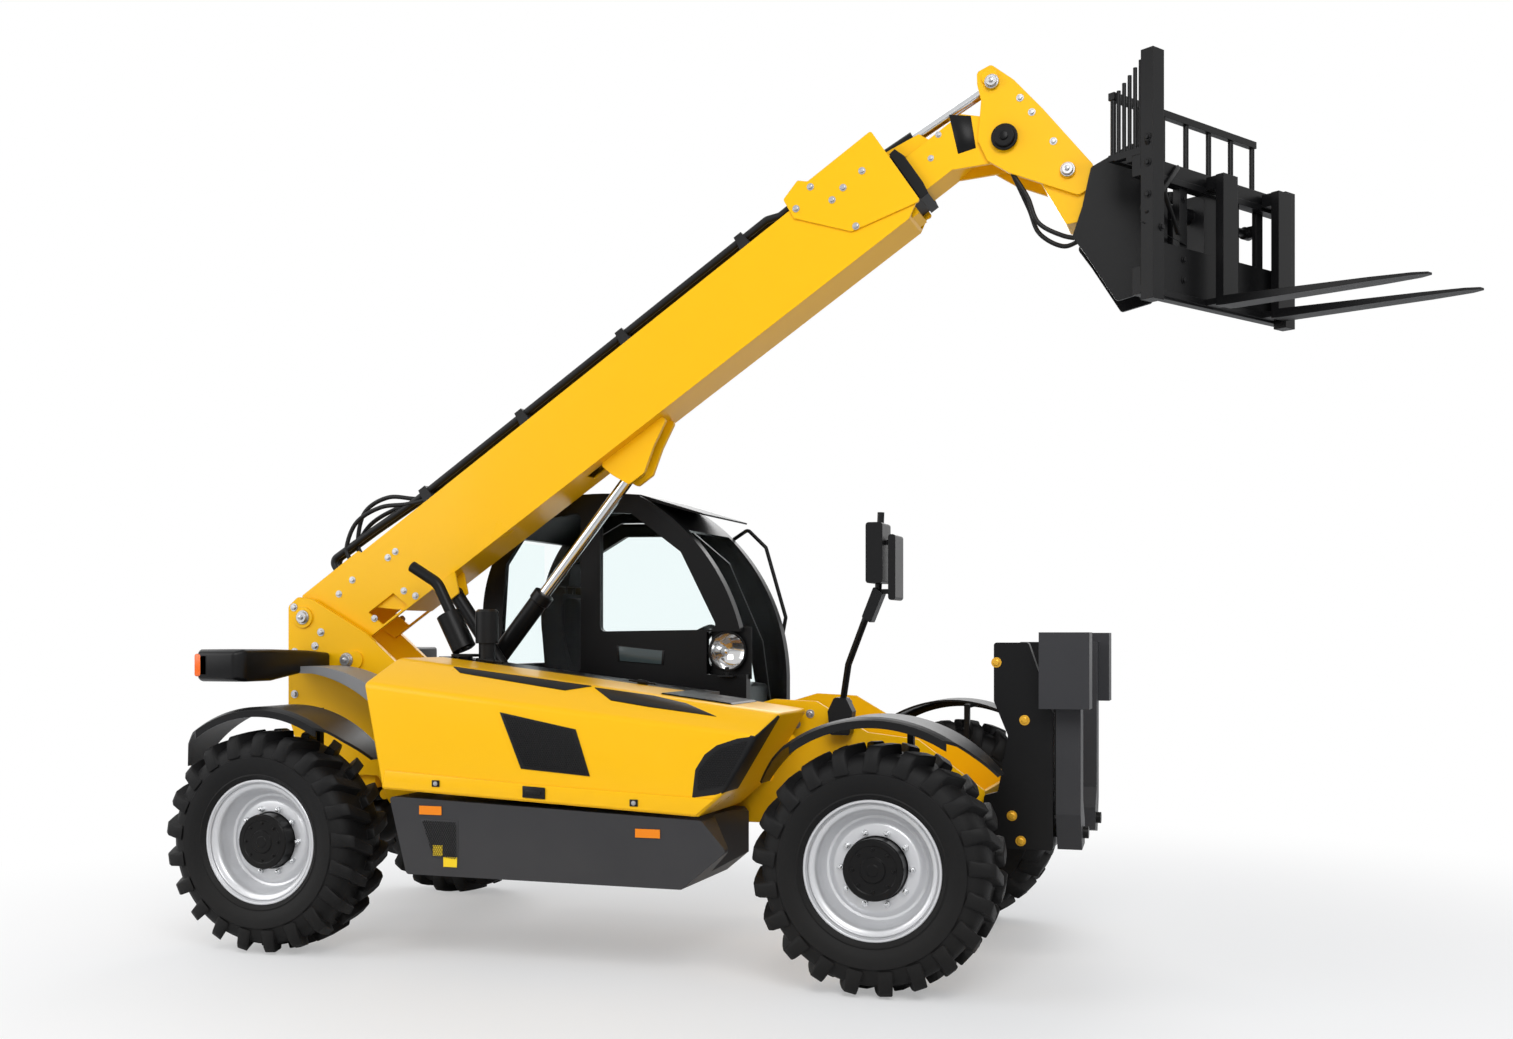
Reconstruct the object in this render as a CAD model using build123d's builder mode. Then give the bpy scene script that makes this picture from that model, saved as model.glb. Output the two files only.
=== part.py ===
"""Telehandler with a swinging fork carriage, as separate pieces.

Millimetres.  +X is forward, +Y is the machine's left, +Z is up, and Z = 0 is the ground.
The chassis is drawn in side planes whose origin is below the front axle, the boom in side
planes whose origin is the boom's pivot pin, with s along the boom and n square to it.
"""
from build123d import *
from math import cos, sin, radians, sqrt
import os

os.makedirs("parts", exist_ok=True)

# ------------------------------------------------------------------ driving dimensions
wheelbase = 3300
axle_z = 588                # half of the tyre's diameter
track_half = 1015           # middle of a tyre, from the middle of the machine

tyre_r = 588
tyre_w = 405
lug_count = 15              # on each half of the tread
lug_h, lug_t_round, lug_slant = 45, 62, 24  # height, thickness round the tread, degrees
lug_turn = 0                # degrees
lug_root, lug_drop = 30, 5  # how far a lug's block starts inside, and stays below the tyre's radius
rim_seat_r = 305
rim_flange_r = 330
rim_w = 330
flange_t = 14
rim_wall = 10
disc_t = 16
hub_r = 145
hub_out = 150               # hub cap's face, from the middle of the wheel
nut_count = 10
nut_circle_r = 172

kingpin_y = 750
kingpin_r = 25
knuckle_r = 70
knuckle_h = 230
spindle_r = 60
running_gap = 0.3           # between a shaft and what turns on it
seat_gap = 0.3              # between two pieces that are bolted together
joint_gap = 2               # between the faces of a hinge
hinge_slack = 0.8           # the door's and the hood's hinge pins are loose fits

pivot_back, pivot_z = 3684, 1782    # the boom's pivot, behind the front axle and over the ground
boom_angle = 34.3           # as parked
swing_angle = -33           # fork carriage, as parked, turned to the machine's right
swing_ahead = 1270          # the carriage's swing axis, ahead of the front axle

fender_r, fender_t = 700, 12
fender_from, fender_to = 38, 148    # degrees round the axle, from the front
fork_root, fork_len, fork_w = 321, 1050, 120
fork_top, fork_drop = 3335, 64      # the blades slope down by the drop, root to tip
fork_heel, fork_tip_t = 45, 10      # blade's thickness
fork_places = (-10, 470)    # middles of the forks, to the left of the swing axis

# the origin is under the middle of the machine's length, from the rear fenders to the fork tips
rear_reach = wheelbase - (fender_r + fender_t) * cos(radians(fender_to))
front_reach = (swing_ahead + (fork_root + fork_len) * cos(radians(swing_angle))
               - (fork_places[-1] + fork_w / 2) * sin(radians(swing_angle)))
front_axle_x = (rear_reach - front_reach) / 2

outer_w, outer_low, outer_high = 310, -334, 114
mid_w, mid_low, mid_high = 262, -272, 12
inner_w, inner_low, inner_high = 216, -252, -40
boom_wall = 10

pivot_x = front_axle_x - pivot_back
mast_gap = 350              # between the two mast plates
mast_t = 30
cab_y_in, cab_y_out = 270, 1150
hood_y_in, hood_y_out = 500, 1150


# ------------------------------------------------------------------ drawing planes and helpers
def side(y):
    """Side plane at y, from below the front axle: sketch x forward, sketch y up, extrudes to -Y."""
    return Plane((front_axle_x, y, 0), x_dir=(1, 0, 0), z_dir=(0, -1, 0))


def boom(y):
    """Side plane at y, from the boom's pivot: sketch x along the boom, sketch y square to it."""
    a = radians(boom_angle)
    return Plane((pivot_x, y, pivot_z), x_dir=(cos(a), 0, sin(a)), z_dir=(0, -1, 0))


def outline(plane, points, radius=0):
    """Closed outline of straight runs, its corners rounded by one radius."""
    with BuildSketch(plane) as profile:
        with BuildLine():
            Polyline(*points, close=True)
        make_face()
        if radius:
            fillet(profile.vertices(), radius)
    return profile.sketch


def disc(plane, x, y, radius):
    with BuildSketch(plane) as profile:
        with Locations((x, y)):
            Circle(radius)
    return profile.sketch


def save(piece, name):
    piece.part.label = name
    export_step(piece.part, f"parts/{name}.step")


# ------------------------------------------------------------------ axles, knuckles and wheels
axles = [
    # name, x of the axle
    ("front", front_axle_x),
    ("rear", front_axle_x - wheelbase),
]
sides = [
    # name, sign of y
    ("right", -1),
    ("left", 1),
]

# one tyre about the origin, its axis along y: a many-sided carcass with a block tread
across_wheel = Plane((0, 0, 0), x_dir=(1, 0, 0), z_dir=(0, 1, 0))
half_w = tyre_w / 2
bead = rim_w / 2 - flange_t - running_gap
base_r = tyre_r - lug_h
with BuildPart() as tyre_form:
    shoulder = [(base_r, 0), (base_r, half_w - 80), (base_r - 75, half_w - 4)]
    for (r0, y0), (r1, y1) in zip(shoulder, shoulder[1:]):
        for half in (-1, 1):
            with BuildSketch(across_wheel.offset(half * y0)):
                RegularPolygon(r0, 2 * lug_count)
            with BuildSketch(across_wheel.offset(half * y1)):
                RegularPolygon(r1, 2 * lug_count)
            loft(ruled=True)
    # lugs, slanted bars from near the middle out over each shoulder
    lean = half_w * sin(radians(lug_slant)) / 2
    for i in range(lug_count):
        for half in (-1, 1):
            turn = radians(360 * (i + (0.5 if half > 0 else 0)) / lug_count + lug_turn)
            outward = Vector(cos(turn), 0, sin(turn))
            with BuildSketch(Plane(outward * (base_r - lug_root), x_dir=(-sin(turn), 0, cos(turn)), z_dir=outward)):
                with BuildLine():
                    Polyline((-lug_t_round / 2 - lean, half * 6), (lug_t_round / 2 - lean, half * 6),
                             (lug_t_round / 2 + lean, half * (half_w - 2)),
                             (-lug_t_round / 2 + lean, half * (half_w - 2)), close=True)
                make_face()
            extrude(amount=lug_root + lug_h - lug_drop)
    # the seat for the rim, the flanges' recesses, and the sidewalls' fall towards them
    with BuildSketch(across_wheel):
        RegularPolygon(rim_seat_r, 2 * lug_count, major_radius=False)
    extrude(amount=half_w, both=True, mode=Mode.SUBTRACT)
    for half in (-1, 1):
        with BuildSketch(across_wheel.offset(half * bead)):
            RegularPolygon(rim_flange_r + 3, 2 * lug_count, major_radius=False)
        with BuildSketch(across_wheel.offset(half * (half_w + 1))):
            RegularPolygon(rim_flange_r + 90, 2 * lug_count, major_radius=False)
        loft(ruled=True, mode=Mode.SUBTRACT)

axle_tube_r = 78
diff_r = 150
saddle_h = 75               # block that bolts the axle under the frame
saddle_top = axle_z + diff_r - 30 + saddle_h
ear_t = 30
ear_r = 72
web_half = 60
ear_z = knuckle_h / 2 + joint_gap
yoke_in = 95                # the yoke's web, inboard of the kingpin

for axle_name, axle_x in axles:
    with BuildPart() as axle:
        across = Plane((axle_x, 0, axle_z), x_dir=(1, 0, 0), z_dir=(0, 1, 0))
        with BuildSketch(across):
            Circle(axle_tube_r)
        extrude(amount=kingpin_y - yoke_in, both=True)
        with Locations(across):
            Sphere(diff_r)
        with BuildSketch(Plane.XY.offset(axle_z + diff_r - 30)):
            with Locations((axle_x, 0)):
                Rectangle(160, 300)
        extrude(amount=saddle_h)
        for side_name, sign in sides:
            for up in (-1, 1):
                ear_low = axle_z + up * (ear_z + ear_t / 2) - ear_t / 2
                with BuildSketch(Plane.XY.offset(ear_low)):
                    with Locations((axle_x, sign * kingpin_y)):
                        Circle(ear_r)
                    with Locations((axle_x, sign * (kingpin_y - yoke_in / 2 - 10))):
                        Rectangle(2 * web_half, yoke_in + 20)
                extrude(amount=ear_t)
            with BuildSketch(Plane.XZ.offset(-sign * (kingpin_y - yoke_in))):
                with Locations((axle_x, axle_z)):
                    Rectangle(2 * web_half, 2 * (ear_z + ear_t))
            extrude(amount=sign * 20)
            with BuildSketch(Plane.XY.offset(axle_z - 400)):
                with Locations((axle_x, sign * kingpin_y)):
                    Circle(kingpin_r + running_gap)
            extrude(amount=800, mode=Mode.SUBTRACT)
    save(axle, f"{axle_name}_axle")

fender_in, fender_out = 845, 1200
fender_lip = 40
stay_ahead, stay_w = 85, 30     # the fender's stay passes ahead of the axle's ears
stay_in, stay_out, stay_t = 5, 330, 22

for axle_name, axle_x in axles:
    for side_name, sign in sides:
        hub_y = sign * kingpin_y
        with BuildPart() as knuckle:
            with BuildSketch(Plane.XY.offset(axle_z - knuckle_h / 2)):
                with Locations((axle_x, hub_y)):
                    Circle(knuckle_r)
            extrude(amount=knuckle_h)
            with BuildSketch(Plane.XY.offset(axle_z - ear_z - ear_t)):
                with Locations((axle_x, hub_y)):
                    Circle(kingpin_r)
            extrude(amount=2 * (ear_z + ear_t))
            spindle_plane = Plane((axle_x, hub_y, axle_z), x_dir=(1, 0, 0), z_dir=(0, sign, 0))
            with BuildSketch(spindle_plane):
                Circle(spindle_r)
            extrude(amount=track_half - kingpin_y + 90)
            with BuildSketch(spindle_plane):
                Circle(spindle_r + 40)
            extrude(amount=track_half - kingpin_y - 60)
            # fender stay: a bent bar from the knuckle's collar up between axle and tyre, and over it
            stay_top = sqrt(fender_r ** 2 - (stay_ahead + stay_w) ** 2) - 0.3
            stay_from = stay_ahead if sign > 0 else stay_ahead + stay_w
            stay_plane = Plane((axle_x + stay_from, hub_y, axle_z), x_dir=(0, sign, 0), z_dir=(sign, 0, 0))
            with BuildSketch(stay_plane):
                with BuildLine():
                    Polyline((stay_in, -30), (stay_in + 40, -30), (stay_in + 40, stay_top - stay_t),
                             (stay_out, stay_top - stay_t), (stay_out, stay_top), (stay_in, stay_top),
                             close=True)
                make_face()
            extrude(amount=stay_w)
        save(knuckle, f"knuckle_{axle_name}_{side_name}")

        with BuildPart() as fender:
            # radial half-plane at the fender's front end: sketch x is the radius, sketch y is outboard
            end_turn = radians(fender_from)
            end_plane = Plane((axle_x, 0, axle_z), x_dir=(cos(end_turn), 0, sin(end_turn)),
                              z_dir=(-sign * sin(end_turn), 0, sign * cos(end_turn)))
            with BuildSketch(end_plane):
                with BuildLine():
                    r0, r1, lip_r = fender_r, fender_r + fender_t, fender_r - fender_lip
                    Polyline((r0, fender_in), (r1, fender_in), (r1, fender_out - 40), (r1 - 8, fender_out - 18),
                             (r0 - 4, fender_out), (lip_r, fender_out), (lip_r, fender_out - fender_t),
                             (r0 - 10, fender_out - fender_t), (r0, fender_out - 44), close=True)
                make_face()
            revolve(axis=Axis((axle_x, 0, axle_z), (0, -1, 0)), revolution_arc=fender_to - fender_from)
            # the outer corners are cut back in plan, clear of the hood and cab at full lock
            with BuildSketch(Plane.XY.offset(axle_z)):
                for turn, ahead in ((fender_from, 1), (fender_to, -1)):
                    end = (fender_r + fender_t) * cos(radians(turn))
                    with BuildLine():
                        Polyline(*[(axle_x + end + ahead * x, sign * (fender_out + y))
                                   for x, y in ((12, -240), (-100, -100), (-240, 12), (12, 12))], close=True)
                    make_face()
            extrude(amount=2 * fender_r, mode=Mode.SUBTRACT)
        save(fender, f"fender_{axle_name}_{side_name}")

        wheel = Plane((axle_x, sign * track_half, axle_z), x_dir=(1, 0, 0), z_dir=(0, -sign, 0))
        wheel_axis = Axis((axle_x, sign * track_half, axle_z), (0, sign, 0))
        # radial half-plane through the wheel's axis: sketch x is the radius, sketch y is outboard
        section = Plane((axle_x, sign * track_half, axle_z), x_dir=(1, 0, 0), z_dir=(0, 0, sign))
        with BuildPart() as tyre:
            add(tyre_form.part.moved(Location((axle_x, sign * track_half, axle_z))))
        save(tyre, f"tyre_{axle_name}_{side_name}")

        with BuildPart() as rim:
            with BuildSketch(section):
                with BuildLine():
                    seat = rim_seat_r - running_gap
                    edge = rim_w / 2
                    disc_y = 62
                    Polyline((seat, edge - flange_t), (seat, -edge + flange_t), (rim_flange_r, -edge + flange_t),
                             (rim_flange_r, -edge), (seat - rim_wall, -edge),
                             (seat - rim_wall, disc_y - disc_t), (spindle_r + running_gap, disc_y - disc_t),
                             (spindle_r + running_gap, 95), (0, 95), (0, hub_out), (hub_r - 12, hub_out),
                             (hub_r, hub_out - 12), (hub_r, disc_y), (seat - rim_wall, disc_y),
                             (seat - rim_wall, edge), (rim_flange_r, edge), (rim_flange_r, edge - flange_t),
                             close=True)
                make_face()
            revolve(axis=wheel_axis)
            nut_plane = Plane((axle_x, sign * (track_half + disc_y), axle_z), x_dir=(1, 0, 0),
                              z_dir=(0, sign, 0))
            with BuildSketch(nut_plane):
                with PolarLocations(nut_circle_r, nut_count):
                    RegularPolygon(14, 6)
            extrude(amount=22)
        save(rim, f"rim_{axle_name}_{side_name}")

# ------------------------------------------------------------------ chassis: rails, mast, front frame
rail_t = 30
rail_y = mast_gap / 2       # the rails and the mast are one plate on each side
rear_x = -wheelbase
axle_notch = 190
lift_foot_x, lift_foot_z, lift_pin_r = -3160, 748, 30

mast_points = [
    # x, z, from below the front axle, round the plate from its rear top corner
    (-3790, 1850), (-3725, 1905), (-3625, 1888), (-3267, 1690), (-3020, 1480), (-2780, 1150),
    (-1050, 1050), (-1050, 700), (rear_x + axle_notch, 700), (rear_x + 120, 860),
    (rear_x - 120, 860), (rear_x - 200, 760), (-3640, 760), (-3790, 1200),
]
with BuildPart() as mast_plates:
    for sign in (-1, 1):
        inner = sign * rail_y
        start = inner if sign < 0 else inner + mast_t
        extrude(outline(side(start), mast_points, 30), amount=mast_t)
    # boom pivot bosses outside the plates
    for sign in (-1, 1):
        for x, z, r in ((-pivot_back, pivot_z, 62), (-3337, 1531, 55)):
            face = -(rail_y + mast_t) if sign < 0 else rail_y + mast_t + 12
            extrude(disc(side(face), x, z, r), amount=12)
    for x, z in ((-3560, 1080), (-1500, 880)):
        extrude(disc(side(rail_y), x, z, 45), amount=mast_gap)
    # plate that the rear axle hangs from
    extrude(outline(side(rail_y), [(rear_x - 80, saddle_top + running_gap), (rear_x + 80, saddle_top + running_gap),
                                   (rear_x + 80, saddle_top + 80), (rear_x - 80, saddle_top + 80)]),
            amount=mast_gap)
    extrude(disc(side(300), -pivot_back, pivot_z, 36 + running_gap), amount=600, mode=Mode.SUBTRACT)
    # the lift cylinder's foot pin
    extrude(disc(side(rail_y), lift_foot_x, lift_foot_z, lift_pin_r), amount=mast_gap)
save(mast_plates, "mast_plates")

front_y = 430
front_t = 20
front_points = [
    # x, z, round the front frame's side plate
    (-1050, 1240), (-700, 1345), (-470, 1335), (-200, 1180), (60, 1150), (400, 900),
    (400, 790), (170, 790), (130, 755), (-130, 755), (-200, 700), (-1050, 700),
]
with BuildPart() as front_frame:
    for sign in (-1, 1):
        start = -front_y + front_t if sign < 0 else front_y
        extrude(outline(side(start), front_points, 20), amount=front_t)
    # cross plates between the side plates, and the one that meets the rails
    for x0, x1, z0, z1 in ((-1050, -1030, 700, 1045), (-300, 300, saddle_top + 0.3, saddle_top + 20), (380, 400, 790, 895)):
        with BuildSketch(side(front_y - front_t)):
            with Locations(((x0 + x1) / 2, (z0 + z1) / 2)):
                Rectangle(x1 - x0, z1 - z0)
        extrude(amount=2 * (front_y - front_t))
    for x, z, r in ((-620, 1123, 45), (-720, 940, 22)):
        extrude(disc(side(front_y + 5), x, z, r), amount=2 * front_y + 10, mode=Mode.SUBTRACT)
save(front_frame, "front_frame")

with BuildPart() as engine_block:
    with BuildSketch(side(-600)):
        with Locations((-1850, 1090)):
            Rectangle(1000, 400)
    extrude(amount=420)
    # mounting arms to the rail
    for x in (-2200, -1500):
        with BuildSketch(side(-rail_y - mast_t)):
            with Locations((x, 930)):
                Rectangle(80, 70)
        extrude(amount=600 - rail_y - mast_t)
save(engine_block, "engine_block")

# ------------------------------------------------------------------ right side: hood, cowl, tank, exhaust
hood_wall = 14
hood_outer = [
    # x, z, round the side wall at its outer face
    (-2590, 890), (-860, 805), (-730, 920), (-560, 1200), (-1160, 1262), (-2700, 1430),
]
hood_top = [
    # x, z, the same corners where the top's flat begins
    (-2590, 890), (-860, 805), (-730, 920), (-500, 1300), (-1160, 1385), (-2620, 1560),
]
crease_y = 940
hood_hinge_r, hood_hinge_pin_r = 12, 6
hood_hinge_up = 14          # hinge line over the top's inner edge
hood_hinges = (250, 1150)   # middles of the hinges, back along the edge from its front corner


def hood_hinge_plane(along):
    """Plane square to the hood's hinge line: sketch x to the left, sketch y down."""
    run = Vector(-2620 + 1160, 0, 1560 - 1385).normalized()
    start = Vector(front_axle_x - 1160, -hood_y_in, 1385 + hood_hinge_up)
    return Plane(start + run * along, x_dir=(0, 1, 0), z_dir=run)


def shifted(points, d):
    """The outline drawn in by the wall d, for corners in the order of the hood's tables."""
    moves = [(1, 1), (-1, 1), (-1.2, 0.2), (-1.4, -0.9), (0, -1), (1, -1)]
    return [(x + d * mx, z + d * mz) for (x, z), (mx, mz) in zip(points, moves)]


with BuildPart() as hood_shell:
    loft([outline(side(-hood_y_out), hood_outer), outline(side(-crease_y), hood_top)], ruled=True)
    extrude(outline(side(-hood_y_in), hood_top), amount=crease_y - hood_y_in)
    loft([outline(side(-hood_y_out + hood_wall), shifted(hood_outer, hood_wall)),
          outline(side(-crease_y), shifted(hood_top, hood_wall))], ruled=True, mode=Mode.SUBTRACT)
    extrude(outline(side(-hood_y_in + 1), shifted(hood_top, hood_wall)),
            amount=crease_y - hood_y_in + 1, mode=Mode.SUBTRACT)
    # the bottom is open
    with BuildSketch(side(-hood_y_in + 1)):
        with BuildLine():
            Polyline((-2590 + hood_wall, 850), (-900, 780), (-900, 880), (-2590 + hood_wall, 960),
                     close=True)
        make_face()
    extrude(amount=hood_y_out - hood_wall - hood_y_in + 1, mode=Mode.SUBTRACT)
    # side vent, cut through
    side_vent = [(-1915, 1290), (-1500, 1212), (-1421, 985), (-1795, 1015)]
    extrude(outline(side(-hood_y_out + 60), side_vent, 12), amount=120, mode=Mode.SUBTRACT)
    # hinge sleeves along the top's inner edge
    for along in hood_hinges:
        for step in (-75, 25):
            with BuildSketch(hood_hinge_plane(along + step)):
                Circle(hood_hinge_r)
                with Locations((-16, 8)):
                    Rectangle(26, 20)
            extrude(amount=50)
            with BuildSketch(hood_hinge_plane(along + step - 1)):
                Circle(hood_hinge_pin_r + hinge_slack)
            extrude(amount=52, mode=Mode.SUBTRACT)
save(hood_shell, "hood_shell")

panel_t = 8
with BuildPart() as hood_panels:
    # trim panel on the slope ahead of the cowl
    extrude(outline(side(-hood_y_in - 30), [(-1140, 1382.4 + seat_gap), (-760, 1333.5 + seat_gap),
                                            (-775, 1335.5 + panel_t), (-1130, 1381.2 + panel_t)]), amount=390)
save(hood_panels, "hood_panels")

with BuildPart() as hood_vents:
    mesh_t = 8
    vent_back = [(-1935, 1302), (-1484, 1222), (-1405, 970), (-1805, 1000)]
    extrude(outline(side(-hood_y_out + hood_wall + seat_gap + mesh_t), vent_back, 12), amount=mesh_t)
save(hood_vents, "hood_vents")

cowl_y_in = 255
exhaust_y = -390
with BuildPart() as cowl:
    cowl_points = [(-2620, 1180), (-2620, 1560), (-1160, 1385), (-1060, 1375), (-1060, 1180)]
    extrude(outline(side(-cowl_y_in), cowl_points), amount=hood_y_in - joint_gap - cowl_y_in)
    inner_points = [(-2606, 1179), (-2606, 1544), (-1160, 1370), (-1074, 1361), (-1074, 1179)]
    extrude(outline(side(-cowl_y_in - 14), inner_points), amount=hood_y_in - cowl_y_in,
            mode=Mode.SUBTRACT)
    with BuildSketch(side(-rail_y - mast_t)):
        with Locations((-2300, 1130), (-1300, 1130)):
            Rectangle(60, 100)
    extrude(amount=cowl_y_in + 14 - rail_y - mast_t)
    with BuildSketch(Plane.XY.offset(1500)):
        with Locations((front_axle_x - 2512, exhaust_y)):
            Circle(42)
    extrude(amount=100, mode=Mode.SUBTRACT)
    # the hood's hinge pins, each on a block between the sleeves
    for along in hood_hinges:
        with BuildSketch(hood_hinge_plane(along - 75)):
            Circle(hood_hinge_pin_r)
        extrude(amount=150)
        with BuildSketch(hood_hinge_plane(along - 24)):
            Circle(hood_hinge_r)
            with Locations((14, 8)):
                Rectangle(28, 20)
        extrude(amount=48)
save(cowl, "engine_cowl")

with BuildPart() as exhaust:
    with BuildLine() as pipe:
        FilletPolyline((front_axle_x - 2500, exhaust_y, 1600), (front_axle_x - 2690, exhaust_y, 1970),
                       (front_axle_x - 2850, exhaust_y, 2065), radius=110)
    with BuildSketch(Plane(pipe.line @ 0, z_dir=pipe.line % 0)):
        Circle(32)
    sweep()
    lean = Plane((front_axle_x - 2522, exhaust_y, 1600), z_dir=(-190, 0, 370))
    with BuildSketch(lean):
        Circle(68)
    extrude(amount=220)
    with BuildSketch(Plane.XY.offset(1556.9)):
        with Locations((front_axle_x - 2512, exhaust_y)):
            Circle(80)
    extrude(amount=16)
    with BuildSketch(Plane.XY.offset(1480)):
        with Locations((front_axle_x - 2512, exhaust_y)):
            Circle(38)
    extrude(amount=90)
save(exhaust, "exhaust")

intake_x = -2380
cowl_slope = (1560 - 1385) / (2620 - 1160)
intake_seat = 1385 - cowl_slope * (intake_x + 1160)
with BuildPart() as air_intake:
    with BuildSketch(Plane((front_axle_x + intake_x, exhaust_y, intake_seat + seat_gap), z_dir=(cowl_slope, 0, 1))):
        Circle(62)
    extrude(amount=12)
    with BuildSketch(Plane.XY.offset(intake_seat + 9)):
        with Locations((front_axle_x + intake_x, exhaust_y)):
            Circle(46)
    extrude(amount=120)
    with BuildSketch(Plane.XY.offset(intake_seat + 100)):
        with Locations((front_axle_x + intake_x, exhaust_y)):
            Circle(64)
    extrude(amount=190)
    chamfer(air_intake.faces().sort_by(Axis.Z)[-1].edges(), 14)
save(air_intake, "air_intake")

with BuildPart() as side_tank:
    tank_side = [(-2550, 850), (-2450, 455), (-950, 448), (-720, 640), (-850, 785)]
    extrude(outline(side(-460), tank_side, 20), amount=1135 - 460)
    with BuildSketch(Plane.XY.offset(400)):
        with BuildLine():
            Polyline(*[(x + front_axle_x, y) for x, y in
                       ((-820, -400), (-600, -400), (-600, -1050), (-700, -1120), (-880, -900))],
                     close=True)
        make_face()
    extrude(amount=500, mode=Mode.SUBTRACT)
    with BuildSketch(side(-rail_y - mast_t)):
        with Locations((-2200, 740), (-1300, 740)):
            Rectangle(80, 60)
    extrude(amount=460 - rail_y - mast_t)
save(side_tank, "side_tank")

# ------------------------------------------------------------------ rear lights and guards
with BuildPart() as rear_guards:
    for sign in (-1, 1):
        start = -250 if sign < 0 else 520
        with BuildSketch(side(start)):
            with BuildLine():
                Polyline((-3560, 1500), (-3420, 1500))
                ThreePointArc((-3420, 1500), (-2960, 1330), (-2740, 1010))
                Polyline((-2740, 1010), (-2800, 985))
                ThreePointArc((-2800, 985), (-3010, 1270), (-3420, 1460))
                Polyline((-3420, 1460), (-3560, 1460), (-3560, 1500))
            make_face()
        extrude(amount=270)
        with BuildSketch(side(-rail_y - mast_t if sign < 0 else 250)):
            with Locations((-3480, 1480)):
                Rectangle(100, 36)
        extrude(amount=250 - rail_y - mast_t)
save(rear_guards, "rear_guards")

with BuildPart() as rear_lights:
    for sign in (-1, 1):
        lamp = Plane.XY.offset(1520)
        with BuildSketch(lamp):
            with BuildLine():
                Polyline((front_axle_x - 3560, sign * 300), (front_axle_x - 3560, sign * 620),
                         (front_axle_x - 3740, sign * 1080), (front_axle_x - 3790, sign * 1060),
                         (front_axle_x - 3790, sign * 900), (front_axle_x - 3720, sign * 300), close=True)
            make_face()
        extrude(amount=85)
        with BuildSketch(lamp.offset(-19.5)):
            with Locations((front_axle_x - 3530, sign * 400)):
                Rectangle(60, 200)
        extrude(amount=60)
save(rear_lights, "rear_lights")

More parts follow.
